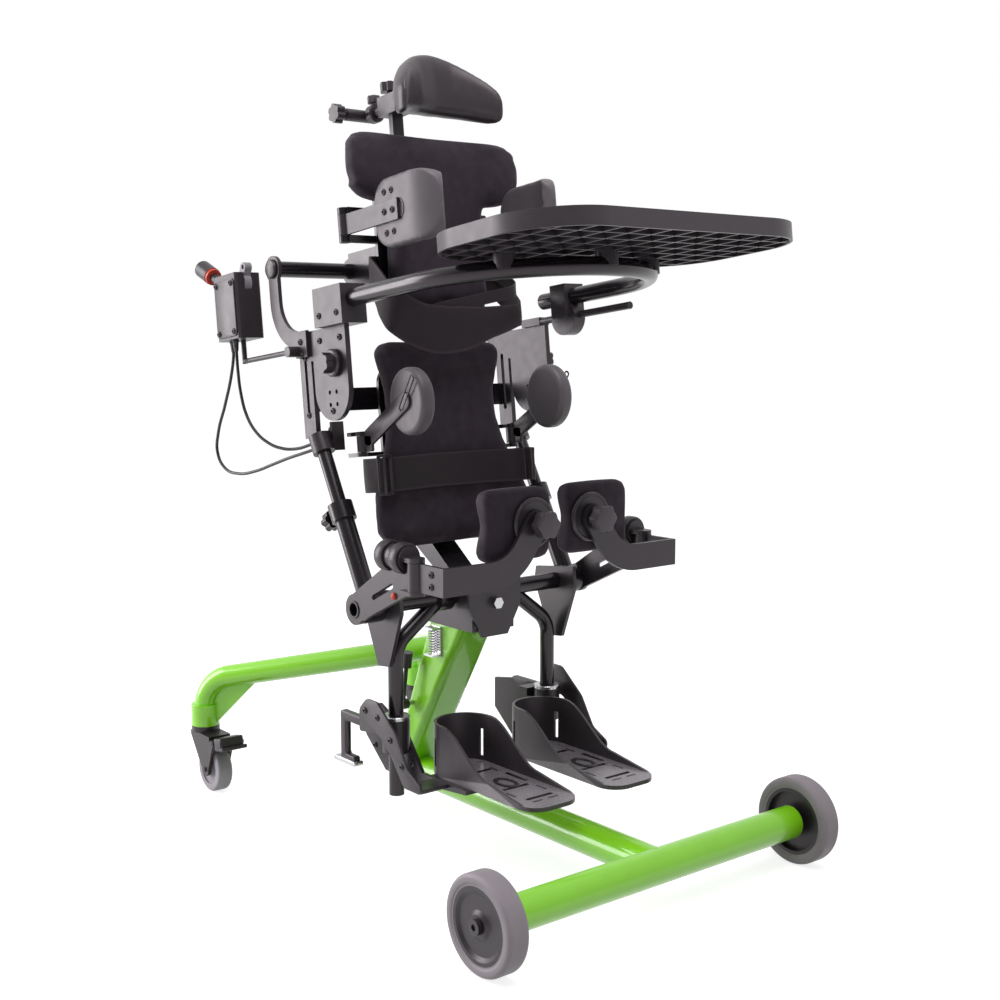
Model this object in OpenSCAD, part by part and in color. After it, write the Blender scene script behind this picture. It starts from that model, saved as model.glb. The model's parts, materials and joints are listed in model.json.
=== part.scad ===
// Standing frame for a child: a low wheeled base with a leaning mast, and a body support that tilts on a cross bar.
// Millimetres. +Z is up, the user faces -Y, and -X is the user's right.
// The origin is on the floor under the middle of the outer box.

/* [Wheels] */
// Diameter of a front wheel
wheel_d = 125; // [100:1:150]
// Width of a front wheel
wheel_w = 32; // [24:1:40]
// Distance between the middles of the front wheels
track = 569; // [500:1:640]
// Radius of the hub disc, where the tyre starts
hub_r = 47.8; // [42:0.1:48.5]
// Diameter of a front axle
axle_d = 12; // [8:1:16]
// Diameter of a caster wheel
caster_d = 75; // [60:1:80]
// Width of a caster wheel
caster_w = 26; // [20:1:32]
// Trail from the swivel axis to the caster's axle
caster_trail = 32; // [24:1:36]
// Height of the caster sockets above the floor
socket_z = 105; // [103:1:125]

/* [Base] */
// Place of the front axle behind the origin
axle_y = -402.5; // [-450:0.5:-350]
// Diameter of the cross tube and of the spine tube
frame_d = 47; // [38:0.5:50]
// Wall of the frame's tubes
frame_wall = 3; // [2:0.25:5]
// Width of the mast
mast_w = 66; // [56:1:72]
// Front of the mast at its foot
mast_foot_y = 144.5; // [110:0.5:170]
// Depth of the mast at its foot
mast_foot_depth = 33; // [31:1:50]
// Front of the mast at its top
mast_top_y = -25.5; // [-30:0.5:0]
// Depth of the mast at its top
mast_top_depth = 88; // [78:1:92]
// Diameter of a rear leg
leg_d = 36; // [28:1:40]
// Height of the legs where they meet behind the mast
leg_top_z = 270; // [250:1:280]
// Fall of a leg on its way back
leg_fall = 12; // [8:0.5:15]
// Bend radius at the back of a leg
leg_bend_r = 60; // [50:1:70]
// Place of a caster's swivel axis beside the middle
caster_x = 218; // [190:1:240]
// Place of a caster's swivel axis behind the origin
caster_y = 442; // [410:0.5:460]

/* [Tilt] */
// Place of the tilt axis behind the origin
pivot_y = -12.5; // [-18:0.5:-6]
// Height of the tilt axis
pivot_z = 370; // [340:1:400]
// Diameter of the cross bar
bar_d = 25; // [20:0.5:30]
// Length of the cross bar
bar_l = 430; // [428:1:480]
// Lean of the body support at rest
recline = 6.5; // [3:0.5:9]

/* [Seat] */
// Height of the seat pad
seat_h = 318; // [280:1:340]
// Half the width of the seat pad at its widest
seat_half_w = 148; // [135:1:155]
// Thickness of the seat pad
seat_t = 46; // [38:1:52]
// Lower edge of the seat pad above the tilt axis
seat_low = 70; // [60:1:80]
// Front of the seat pad behind the tilt axis
seat_front = 32; // [26:1:40]
// Width of the lap belt's webbing
lap_w = 50; // [38:1:52]

/* [Canes] */
// Distance of a cane from the middle
cane_x = 186; // [184:0.5:190]
// Lean of the canes from the support's own upright
cane_lean = 22.5; // [20:0.5:25]
// Diameter of a cane's outer tube
cane_d = 28; // [26:0.5:30]
// Diameter of a cane's inner rod
cane_rod_d = 21; // [18:0.5:22]
// Length from the cross bar to the collar's top
cane_tube_l = 160; // [140:1:175]
// Length from the cross bar to the top of the inner rod
cane_l = 264; // [255:1:275]

/* [Back] */
// Height of the back pad
back_h = 262; // [240:1:280]
// Half the width of the back pad at its wings
back_half_w = 158; // [140:1:165]
// Thickness of the back pad
back_t = 50; // [40:1:56]
// Lower edge of the back pad above the tilt axis
back_low = 432; // [426:1:445]
// Front of the back pad behind the tilt axis
back_front = 15; // [10:1:20]
// Diameter of the back tube
back_tube_d = 24; // [20:0.5:26]
// Place of the back tube behind the tilt axis
back_tube_y = 186; // [176:1:196]
// Place of the back tube above the tilt axis
back_tube_z = 505; // [495:1:515]
// Width of the chest strap
strap_w = 72; // [50:1:76]

/* [Tray] */
// Diameter of the tray rail
rail_d = 25; // [22:0.5:26]
// Height of the tray rail above the tilt axis
rail_z = 437; // [433:1:440]
// Distance of a rail leg from the middle, and radius of the front bow
rail_x = 182; // [180:0.5:185]
// Where the rail's legs end in front and the bow starts
rail_bow_y = -154; // [-180:1:-140]
// Width of the tray
tray_w = 480; // [440:1:520]
// Depth of the tray
tray_l = 271; // [250:1:300]
// Corner radius of the tray
tray_r = 97; // [80:1:110]
// Height of the tray's rim
tray_rim_h = 23; // [18:1:28]
// Middle of the tray in front of the tilt axis
tray_y = -362; // [-380:1:-350]

/* [Supports] */
// Length of a chest support's flat part
chest_flat = 84; // [74:1:90]
// Radius of a chest support's curved part
chest_curve_r = 70; // [60:1:80]
// Height of a chest support
chest_h = 98; // [90:1:108]
// Outer face of the chest supports from the middle
chest_x = 126; // [123:1:130]
// Height of the chest supports above the tilt axis
chest_z = 556; // [552:1:560]
// Length of a hip support
hip_l = 86; // [76:1:92]
// Height of a hip support
hip_h = 96; // [86:1:104]
// Outer face of the hip supports from the middle
hip_x = 138; // [136:1:142]
// Width of a knee pad
knee_pad_w = 122; // [106:1:124]
// Height of a knee pad
knee_pad_h = 106; // [90:1:110]
// Thickness of a knee pad
knee_pad_t = 40; // [32:1:46]
// Distance of a knee knob from the middle
knee_x = 52; // [50:1:60]
// Height of the knee knobs
knee_z = 505; // [495:1:515]

/* [Feet] */
// Diameter of a footrest hanger
hanger_d = 22; // [20:0.5:24]
// Distance of a hanger from the middle
hanger_x = 144; // [138:1:150]
// Height of the lower end of a hanger
hanger_low_z = 88; // [70:1:100]
// Distance of a footplate's middle from the middle
foot_x = 73; // [70:1:78]
// Length of a footplate
foot_l = 250; // [225:1:260]
// Width of a footplate
foot_w = 92; // [84:1:98]
// Height of a footplate's floor
foot_z = 126; // [122:1:132]
// Height of the heel cup above the floor
heel_h = 75; // [60:1:80]

/* [Head] */
// Width of the head pad
head_w = 184; // [170:1:200]
// Height of the head pad
head_h = 80; // [80:1:96]
// Thickness of the head pad
head_t = 42; // [34:1:48]
// Middle of the head pad above the tilt axis
head_z = 752; // [748:1:770]

/* [Hidden] */
$fn = 48;

// How far a cut runs past the face that it opens
overrun = 2;
// Radial clearance of a pin that turns in its bore
fit = 0.05;
// Gap between faces that move past each other
gap = 0.4;
// Seam of a weld between two tubes
seam = 0.03;
// Green paint, black hardware, grey plastic, tyre grey, fabric and bright steel
green = "yellowgreen";
black = "#26262a";
grey = "#77757c";
tyre_grey = "#7d7d80";
fabric = "#1d1c22";
bright = "silver";

// Front wheel: hub and tyre
wheel_r = wheel_d / 2;
hub_boss_r = 14;
hub_boss_w = wheel_w - 4;
hub_web = 12;
hub_rim_w = wheel_w - 3;
hub_rim_t = 5;
tyre_round = 6;
axle_head_d = 20;
axle_head_h = 6;
axle_socket_d = 9;
plug_l = 34;
collar_t = 3;
collar_d = 30;
tube_half = track / 2 - hub_boss_w / 2 - gap - collar_t;

// Mast and head bracket
mast_low_z = wheel_r - frame_d / 2;
head_rise = 50;
mast_top_z = pivot_z - head_rise;
mast_round = 14;
mast_slice = 1;
mast_wall = 4;
head_plate_t = 5;
cheek_in = mast_w / 2 + 1;
cheek_out = cheek_in + head_plate_t;
head_front_y = -57.5;
head_back_y = 62.5;
head_top = 34;
front_plate_top = 50;
front_plate_half = 48;
front_plate_foot = 24;
front_plate_drop = 58;
front_plate_side = 14;
front_bolt_d = 18;
front_bolt_h = 9;
front_bolt_drop = 8;

// Rear leg, in the upright plane that it lies in
leg_start_y = mast_rear(leg_top_z);
leg_plan = [caster_x, caster_y - leg_start_y];
leg_l = norm(leg_plan);
leg_turn = atan2(leg_plan[0], leg_plan[1]);
leg_corner_z = leg_top_z - leg_l * tan(leg_fall);
leg_arc = 90 - leg_fall;
leg_tangent = leg_bend_r * tan(leg_arc / 2);
socket_d = 46;
socket_h = leg_corner_z - leg_tangent - socket_z + 8;
stem_d = 16;
stem_h = 34;
gusset_t = 5;
gusset_share = 0.72;

// Caster
caster_r = caster_d / 2;
fork_t = 5;
fork_gap = 1.5;
fork_in = caster_w / 2 + fork_gap;
fork_out = fork_in + fork_t;
crown_h = 9;
roof_t = 7;
roof_back = 16;
roof_z = socket_z - gap - crown_h - roof_t;
fork_boss_r = 11;
caster_axle_d = 8;
caster_bore_r = caster_axle_d / 2 + fit;
caster_rim_r = caster_r * 0.66;
caster_round = 5;
pedal_ahead = 24;
pedal_y = -caster_trail - pedal_ahead;
pedal_z = roof_z - 3;
pedal_pin_d = 6;
pedal_l = 36;
pedal_w = 2 * fork_out + 4;
pedal_t = 6;
pedal_rise = 12;

// Lock lever and spring on the mast's right side
lock_y = 102.5;
lock_z = 182;
lock_x = 52;
lock_boss_d = 16;
lock_pin_d = 8;
lock_rod_d = 7;
lock_l = 62;
lock_lean = 9;
lock_knob_d = 17;
lock_knob_h = 24;
lock_head = 4;
lock_boss_share = 0.43;
spring_y = 36.5;
spring_low_z = 274;
spring_l = 36;
spring_coil_r = 6;
spring_wire_d = 2;
spring_turns = 9;
spring_rings = 8;
spring_sides = 6;
spring_plate_t = 3;
spring_plate_w = 22;
spring_plate_h = 46;
spring_lug = 18;
spring_seat = 0.8;

// Cane brackets, cane tubes and knee brackets stand side by side on the cross bar
clamp_d = 44;
cane_plate_t = 6;
cane_plate_x = cane_x - clamp_d / 2 + 2 - cane_plate_t;
cane_clamp_w = 27;
knee_plate_t = 8;
knee_plate_x = cane_x + cane_clamp_w / 2 + 6;
collar_h = 26;
cane_collar_d = 37;
knob_r = 15;
knob_h = 14;
knob_lobes = 6;
knob_lobe_r = 5.5;
knob_stud_d = 8;
knob_reach = 8;

// Seat post and board behind the seat pad
seat_back = seat_front + seat_t;
board_t = 6;
board_gap = 0.4;
board_y = seat_back + board_gap;
post_w = 44;
post_d = 30;
post_y = board_y + board_t;
hub_w = 2 * cheek_in - 4;
hub_d = 42;
post_bend_z = 74;
board_half_w = 92;
board_h = 250;
board_low = seat_low + 30;
lug_w = 44;

// Side frame: slotted upright, plate and curved arm
side_t = 8;
side_x = cane_x - side_t / 2;
arm_t = 6;
arm_w = 26;
upright_w = 32;
upright_y = 104;
upright_low = 246;
upright_top = 402;
plate_y = 8;
plate_w = 90;
plate_low = 268;
plate_gap = 5;
slot_w = 7;
slot_l = 84;
slot_low = 280;
bridge_h = 44;
bolt_d = 6.4;
bolt_pitch = 18;
bolt_z = 300;
bolt_y = 50;
side_knob_y = 40;
side_knob_z = 350;
arm_r = back_tube_y - upright_y - upright_w / 2 - 2;
arm_low_z = upright_top - arm_w / 2 + 2;
socket_wall = 6;
socket_depth = 28;
hip_bar_z = 302;
hip_bar_h = 34;
hip_bar_t = 12;
hip_bar_y = post_y + post_d + 6;

// Back board, its two ribs and the head post's sleeve
back_y = back_front + back_t;
back_board_y = back_y + board_gap;
back_board_half_w = 84;
back_board_h = 226;
back_board_low = back_low + 18;
rib_x = 56;
rib_t = 6;
rib_low = 478;
rib_h = 54;
sleeve_w = 36;
sleeve_d = 53;
sleeve_reach = 42;
sleeve_h = 70;
sleeve_z = 612;

// Chest supports
chest_t = 20;
chest_turn = 48;
chest_round = 34;
chest_back_y = 8;
chest_arm_reach = 66;
chest_arm_t = 5;
chest_arm_h = 30;
chest_pin_d = 9;
chest_pin_y = back_board_y + board_t + 12;
chest_pin_x = chest_x + chest_arm_t / 2;
chest_lug_h = 10;
chest_knuckle_d = 18;

// Hip supports
hip_t = 22;
hip_y = -55;
hip_z = 286;
hip_arm_t = 5;
hip_arm_w = 28;
hip_pin_y = 58;
hip_pin_z = 232;
hip_pin_d = 9;
hip_knuckle_d = 18;
hip_knuckle_h = 24;
hip_lug_h = 6;
hip_arm_start = 20;
hip_pin_x = hip_x + hip_arm_t / 2;

// Knee brackets, arms and pads, in the frame of the floor
knee_pin_y = -157.5;
knee_pin_z = 436;
knee_pin_d = 10;
knee_knuckle_d = 24;
knee_bar_h = 38;
knee_bar_t = 6;
knee_bar_y = -215.5;
knee_bar_x = knee_plate_x + knee_plate_t / 2;
knee_ear_t = 6;
knee_arc_r = 70;
knee_rise = 55;
knee_plate_w = 34;
knee_run = 45;
knee_stud_gap = 0.4;
knee_pad_y = knee_bar_y + 5;
knee_pad_x = 72;
knee_washer_d = 22;
knee_stud_d = 12;
knee_stud_l = 12;
knee_pad_drop = 7;
knee_block_d = 34;
knee_block_l = 60;
knee_block_rise = 22;
knee_wing = -14;
knee_steps = 10;

// Footrest hangers, clamp brackets and sandals
hanger_wall = 2.5;
hanger_bend_r = 42;
hanger_slope = atan(4 / 3);
hanger_hub_x = 62;
hanger_hub_w = 24;
hanger_hub_d = 40;
foot_clamp_d = 40;
foot_clamp_h = 48;
foot_clamp_z = 152;
foot_fit = 0.08;
foot_plate_t = 6;
foot_plate_x = foot_x + foot_w / 2 + 3;
foot_heel_y = -39.5;
foot_floor_t = 6;
foot_wall_t = 4;
foot_corner_r = 38;
foot_pan_t = 6;
foot_pan_l = 90;
foot_pan_w = 60;
foot_pan_in = 28;
side_h_share = 0.24;
heel_share = 0.20;
instep_share = 0.62;
toe_share = 0.92;
rim_steps = 12;
slit_share = 0.14;
lever_d = 9;
lever_pin_y = 20;
lever_rise = 36;
lever_pin_z = foot_clamp_z + lever_rise;
lever_l = 66;
lever_drop = 62;
lever_x = 172;
lever_boss_d = 20;
lever_boss_w = 12;
slot_shares = [0.30, 0.64, 0.84];

// Tray and rail
rail_back_y = 66;
rail_far_y = 6;
rail_wall = 2.5;
clamp_block_w = 42;
clamp_block_l = 74;
clamp_block_y = -8;
clamp_block_low = upright_top;
clamp_block_h = rail_z + rail_d / 2 + 8 - upright_top;
rail_fit = 0.08;
disc_d = 54;
disc_w = 22;
disc_y = -49;
rod_d = 11;
disc_z = upright_top + 4;
rod_z = upright_top + rod_d / 2;
rod_back_y = 57;
rod_l = 244;
saddle_w = 20;
saddle_l = 44;
grip_w = 38;
grip_l = 34;
tray_z = rail_z + rail_d / 2 + 6;
tray_skin = 5;
tray_wall = 4;
rib_thick = 3;
rib_depth = 13;
tray_cells_x = 12;
tray_cells_y = 7;
belly_r = 300;
belly_depth = 22;
tray_boss_d = 30;
tray_boss_angles = [-135, -90, -45];

// Control box with its rod, knob and lever
box_x = 208.5;
box_w = 44;
box_y = 240;
box_l = 70;
box_z = 408;
box_h = 100;
box_round = 5;
box_rod_d = 8;
box_rod_x = 205;
box_rod_z = 375;
box_rod_y = 132;
knob_axis_tilt = 28;
press_d = 28;
press_l = 34;
press_neck_d = 15;
press_neck_l = 16;
press_ring_l = 6;
lever_plate_t = 12;
lever_plate_l = 26;
lever_plate_w = 34;
lever_tip_d = 15;
lever_pin_d = 7;
lever_at_y = box_y + 15;
lever_at_z = box_z + box_h - 15;
lever_at_turn = 118;
press_in = 22;
press_out = 46;
press_travel = 8;
cable_d = 5;
cable_sides = 8;
cable_stop_y = 92;
cable_stop_z = 240;
cable_stop_x = 174;
cable_stop_in = 154;
cable_stop_t = 6;
cable_stop_w = 42;
// Routes of the two cables in the support's own frame: out of the box, down in a loop and in to the stop
cable_a_route = [
  [-210, 300, 408], [-210, 300, 394], [-211, 310, 360], [-213, 336, 312], [-215, 362, 270],
  [-215, 370, 238], [-212, 354, 212], [-206, 322, 202], [-197, 282, 204], [-188, 245, 212],
  [-180, 208, 220], [-173, 172, 226], [-167, 138, 232], [-164, 112, 238], [-163, 99, 240], [-163, 92, 240]
];
cable_b_route = [
  [-218, 276, 408], [-218, 276, 394], [-218, 276, 360], [-217, 274, 325], [-214, 266, 290],
  [-209, 250, 264], [-202, 228, 246], [-194, 204, 236], [-185, 180, 233], [-177, 156, 236],
  [-170, 134, 243], [-166, 114, 252], [-164, 103, 257], [-163, 97, 258], [-163, 92, 258]
];
// Routes of the lap belt and of the chest strap in the support's own frame
lap_route = [
  [-80, 76.9, 185], [-96, 76.9, 185], [-124, 74, 185], [-140, 62, 185], [-146.5, 42, 185], [-145, 14, 185],
  [-130, 2, 185], [-96, 6, 186], [-50, 16, 187], [0, 20, 187], [50, 16, 187], [96, 6, 186],
  [130, 2, 185], [145, 14, 185], [146.5, 42, 185], [140, 62, 185], [124, 74, 185], [96, 76.9, 185], [80, 76.9, 185]
];
chest_route = [
  [-66, 73.4, 488], [-90, 74.8, 487], [-101, 64, 482], [-106, 38, 464], [-108, 10, 441], [-98, -8, 420],
  [-72, -15, 403], [-36, -18, 393], [0, -20, 389], [38, -21, 389], [74, -20, 396], [100, -10, 412],
  [109, 10, 436], [106, 38, 464], [101, 64, 482], [90, 74.8, 487], [66, 73.4, 488]
];
webbing_t = 3;

// Head support
head_post_w = 20;
head_post_d = 10;
head_post_y = back_board_y + board_t + sleeve_reach;
head_post_low = 560;
head_post_top = 760;
head_block_w = 34;
head_block_l = 46;
head_block_h = 30;
head_link_d = 16;
head_front = 8;
head_hinge_y = head_front + head_t + 16;
head_ear_t = 6;
head_ear_d = 20;
head_lug_w = 14;
head_pin_d = 8;
head_rod_l = 54;
head_cross_l = 56;
slide_fit = 0.08;

// Cushion tables: share of the height, of the half width, of the thickness, and of the wings' reach forward
seat_shares = [
  [0, 0.80, 0.34, 0.9], [0.02, 0.90, 0.72, 1], [0.07, 0.985, 0.98, 1], [0.16, 1, 1, 0.95], [0.26, 0.985, 1, 0.8],
  [0.38, 0.90, 1, 0.55], [0.5, 0.79, 1, 0.35], [0.62, 0.73, 1, 0.2], [0.74, 0.73, 1, 0.1], [0.86, 0.78, 1, 0.05],
  [0.94, 0.80, 0.96, 0], [0.985, 0.74, 0.7, 0], [1, 0.62, 0.34, 0]
];
back_shares = [
  [0, 0.46, 0.34, 0], [0.025, 0.54, 0.75, 0], [0.09, 0.58, 1, 0.05], [0.25, 0.585, 1, 0.1], [0.42, 0.59, 1, 0.2],
  [0.55, 0.62, 1, 0.3], [0.62, 0.82, 1, 0.6], [0.665, 0.955, 1, 0.9], [0.76, 1, 1, 1], [0.86, 0.985, 1, 0.9],
  [0.94, 0.90, 0.94, 0.7], [0.985, 0.74, 0.7, 0.4], [1, 0.58, 0.34, 0.2]
];
knee_shares = [
  [0, 0.78, 0.4, 0], [0.04, 0.92, 0.8, 0], [0.14, 1, 1, 0], [0.5, 0.97, 1.02, 0],
  [0.86, 1, 1, 0], [0.96, 0.92, 0.8, 0], [1, 0.78, 0.4, 0]
];
// Head pad sections: share of the half width, of the thickness and of the height
head_shares = [
  [-1, 0.26, 0.22], [-0.975, 0.58, 0.43], [-0.92, 0.82, 0.56], [-0.8, 1, 0.67], [-0.6, 1.03, 0.80], [-0.32, 1, 0.94],
  [0, 1, 1], [0.32, 1, 0.94], [0.6, 1.03, 0.80], [0.8, 1, 0.67], [0.92, 0.82, 0.56], [0.975, 0.58, 0.43], [1, 0.26, 0.22]
];
seat_wing = 30;
back_wing = 16;
head_wing = 50;
head_droop = 14;
head_roundness = 0.62;
pad_ring = 28;
pad_squareness = 0.42;

// Straight front and rear edge of the mast at a height
function mast_front(z) =
  mast_foot_y + (mast_top_y - mast_foot_y) * (z - mast_low_z) / (mast_top_z - mast_low_z);
function mast_rear(z) =
  mast_foot_y + mast_foot_depth
  + (mast_top_y + mast_top_depth - mast_foot_y - mast_foot_depth) * (z - mast_low_z) / (mast_top_z - mast_low_z);
// A superellipse's coordinate: a sine or cosine squared off towards a rectangle
function squared(v) = sign(v) * pow(abs(v), pad_squareness);
// A ring of a cushion at one height
function pad_ring_points(z, half_w, half_t, mid_y, wing) = [
  for (i = [0 : pad_ring - 1])
    let (a = 360 * i / pad_ring, x = half_w * squared(cos(a)))
    [x, mid_y + half_t * squared(sin(a)) - wing * pow(x / half_w, 2), z]
];
// A section of the head pad
function head_ring_points(s) =
  let (x = s[0] * head_w / 2, y = head_front + head_t / 2 - head_wing * s[0] * s[0], z = head_z - head_droop * s[0] * s[0])
  [
    for (i = [0 : pad_ring - 1])
      let (a = 360 * i / pad_ring, c = cos(a), d = sin(a))
      [
        x, y + s[1] * head_t / 2 * sign(c) * pow(abs(c), head_roundness),
        z + s[2] * head_h / 2 * sign(d) * pow(abs(d), head_roundness)
      ]
  ];
// A cable's ring: the route's points with a frame square to the run
function run_at(route, i) =
  let (a = route[max(i - 1, 0)], b = route[min(i + 1, len(route) - 1)]) (b - a) / norm(b - a);
function ring_at(route, i, d, sides) =
  let (t = run_at(route, i), u0 = cross(t, [1, 0, 0]), u = u0 / norm(u0), v = cross(t, u))
  [for (k = [0 : sides - 1]) route[i] + d / 2 * (cos(360 * k / sides) * u + sin(360 * k / sides) * v)];
// The spring's centre line
function spring_route() = [
  for (i = [0 : spring_turns * spring_rings])
    let (a = 360 * i / spring_rings)
    [spring_coil_r * cos(a), spring_coil_r * sin(a), spring_l * i / (spring_turns * spring_rings)]
];
spring_least_gap = min([
  for (i = [0 : len(spring_route()) - spring_rings - 1])
    norm(spring_route()[i + spring_rings] - spring_route()[i])
]) - spring_wire_d;
echo(spring_least_gap = spring_least_gap);

// Shapes that several pieces share
module rounded_rect(w, h, r) {
  square([w - 2 * r, h], center = true);
  square([w, h - 2 * r], center = true);
  for (sx = [-1, 1], sy = [-1, 1])
    translate([sx * (w / 2 - r), sy * (h / 2 - r)]) circle(r);
}
module along_x(d, l) {
  rotate([0, 90, 0]) cylinder(d = d, h = l, center = true);
}
module along_y(d, l) {
  rotate([90, 0, 0]) cylinder(d = d, h = l, center = true);
}
// A flat plate in the fore-and-aft plane, from x to x + t
module plate_x(x, t) {
  translate([x, 0, 0]) rotate([90, 0, 90]) linear_extrude(t) children();
}
// A flat plate that faces the front, from y to y + t
module plate_y(y, t) {
  translate([0, y + t, 0]) rotate([90, 0, 0]) linear_extrude(t) children();
}
// The body support's own frame: its origin is the tilt axis
module reclined() {
  translate([0, pivot_y, pivot_z]) rotate([-recline, 0, 0]) children();
}
// Pieces are modelled for the right side; the left ones are their mirror image
module sided(side) {
  if (side == "right") children();
  else mirror([1, 0, 0]) children();
}
module both() {
  for (side = ["right", "left"]) sided(side) children();
}
module pad(shares, height, half_w, thick, front, wing) {
  points = [
    for (s = shares)
      each pad_ring_points(s[0] * height, s[1] * half_w, s[2] * thick / 2, front + thick / 2, s[3] * wing)
  ];
  polyhedron(points, run_faces(len(shares), pad_ring));
}
// Faces of a run of rings with closed ends
function run_faces(n, sides) =
  let (last = (n - 1) * sides)
  concat(
    [
      for (r = [0 : n - 2], i = [0 : sides - 1])
        let (a = r * sides + i, b = r * sides + (i + 1) % sides)
        each [[a, a + sides, b], [b, a + sides, b + sides]]
    ],
    [for (i = [1 : sides - 2]) [0, i, i + 1]],
    [for (i = [1 : sides - 2]) [last, last + i + 1, last + i]]
  );
module swept(route, d, sides) {
  points = [for (i = [0 : len(route) - 1]) each ring_at(route, i, d, sides)];
  polyhedron(points, run_faces(len(route), sides));
}
// A flat band along a route, its width square to the run and as upright as it can be
function band_at(route, i, w, t) =
  let (run = run_at(route, i), up0 = [0, 0, 1] - run[2] * run, up = up0 / norm(up0), out = cross(run, up))
  [
    route[i] - up * w / 2 - out * t / 2, route[i] + up * w / 2 - out * t / 2,
    route[i] + up * w / 2 + out * t / 2, route[i] - up * w / 2 + out * t / 2
  ];
module band(route, w, t) {
  points = [for (i = [0 : len(route) - 1]) each band_at(route, i, w, t)];
  polyhedron(points, run_faces(len(route), 4));
}
// A star knob along +Z with its stud
module star_knob(stud) {
  cylinder(d = knob_stud_d, h = stud);
  translate([0, 0, stud]) {
    cylinder(r = knob_r - knob_lobe_r / 2, h = knob_h);
    for (i = [0 : knob_lobes - 1])
      rotate([0, 0, 360 * i / knob_lobes]) translate([knob_r - knob_lobe_r, 0, 0]) cylinder(r = knob_lobe_r, h = knob_h);
  }
}

// Base
module front_tube() {
  color(green) translate([0, axle_y, wheel_r]) difference() {
    along_x(frame_d, 2 * tube_half);
    along_x(frame_d - 2 * frame_wall, 2 * tube_half + overrun);
  }
}
// The space in front of the mast's front face, or behind its rear face
module before_mast() {
  lean = atan2(mast_foot_y - mast_top_y, mast_top_z - mast_low_z);
  translate([0, mast_foot_y - seam, mast_low_z]) rotate([lean, 0, 0])
    translate([-track, -track, -track]) cube([2 * track, track, 2 * track]);
}
module behind_mast() {
  rear_foot = mast_foot_y + mast_foot_depth;
  lean = atan2(rear_foot - mast_top_y - mast_top_depth, mast_top_z - mast_low_z);
  translate([0, rear_foot + seam, mast_low_z]) rotate([lean, 0, 0])
    translate([-track, 0, -track]) cube([2 * track, 2 * track, 2 * track]);
}
module spine_tube() {
  spine_l = mast_foot_y - axle_y;
  color(green) intersection() {
    difference() {
      translate([0, axle_y + spine_l / 2, wheel_r]) difference() {
        along_y(frame_d, spine_l);
        along_y(frame_d - 2 * frame_wall, spine_l + overrun);
      }
      translate([0, axle_y, wheel_r]) along_x(frame_d, frame_d + overrun);
    }
    before_mast();
  }
}
module mast_solid(inset) {
  hull() {
    translate([0, mast_foot_y + mast_foot_depth / 2, mast_low_z]) linear_extrude(mast_slice)
      rounded_rect(mast_w - 2 * inset, mast_foot_depth - 2 * inset, mast_round - inset, $fn = 32);
    translate([0, mast_top_y + mast_top_depth / 2, mast_top_z - mast_slice]) linear_extrude(mast_slice)
      rounded_rect(mast_w - 2 * inset, mast_top_depth - 2 * inset, mast_round - inset, $fn = 32);
  }
}
module mast() {
  color(green) difference() {
    mast_solid(0);
    intersection() {
      mast_solid(mast_wall);
      translate([-mast_w, -track, mast_low_z + mast_wall])
        cube([2 * mast_w, 2 * track, mast_top_z - mast_low_z]);
    }
  }
}
// A leg's run as a round bar of one diameter, in its own upright plane
module leg_run(d) {
  straight = leg_l / cos(leg_fall) - leg_tangent;
  translate([0, leg_l - leg_bend_r, leg_corner_z - leg_tangent]) rotate([90, 0, 90]) rotate([0, 0, leg_arc]) {
    mirror([0, 1, 0]) rotate_extrude(angle = leg_arc) translate([leg_bend_r, 0]) circle(d = d);
    translate([leg_bend_r, 0, 0]) rotate([-90, 0, 0]) cylinder(d = d, h = straight + leg_d);
  }
}
module leg_gusset() {
  reach = leg_bend_r * gusset_share;
  low = leg_corner_z - leg_tangent;
  plate_x(-gusset_t / 2, gusset_t) polygon([
    [leg_l - leg_bend_r - reach, low + leg_bend_r * sin(leg_arc)],
    [leg_l - leg_bend_r, low + leg_bend_r],
    [leg_l, low],
    [leg_l - socket_d / 2, low - reach / 2]
  ]);
}
module rear_leg(side) {
  color(green) sided(side) intersection() {
    translate([0, leg_start_y, 0]) rotate([0, 0, leg_turn]) difference() {
      union() {
        leg_run(leg_d);
        translate([0, leg_l, socket_z]) cylinder(d = socket_d, h = socket_h);
        leg_gusset();
      }
      leg_run(leg_d - 2 * frame_wall);
      translate([0, leg_l, socket_z - overrun]) cylinder(d = stem_d + 2 * fit, h = stem_h + gap + overrun);
    }
    behind_mast();
    translate([-2 * track, -2 * track, 0]) cube([2 * track, 4 * track, 2 * track]);
  }
}
module rear_leg_right() { rear_leg("right"); }
module rear_leg_left() { rear_leg("left"); }
module front_axle() {
  flange = track / 2 - hub_boss_w / 2 - gap;
  far = track / 2 + hub_boss_w / 2 + gap;
  translate([-flange, axle_y, wheel_r]) rotate([0, -90, 0]) difference() {
    union() {
      translate([0, 0, -collar_t - plug_l]) cylinder(d = frame_d - 2 * frame_wall, h = plug_l);
      translate([0, 0, -collar_t]) cylinder(d = collar_d, h = collar_t);
      cylinder(d = axle_d, h = far - flange);
      translate([0, 0, far - flange]) cylinder(d = axle_head_d, h = axle_head_h);
    }
    translate([0, 0, far - flange + axle_head_h / 2]) cylinder(d = axle_socket_d, h = axle_head_h, $fn = 6);
  }
}
module front_axles() {
  color(black) both() front_axle();
}
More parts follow.
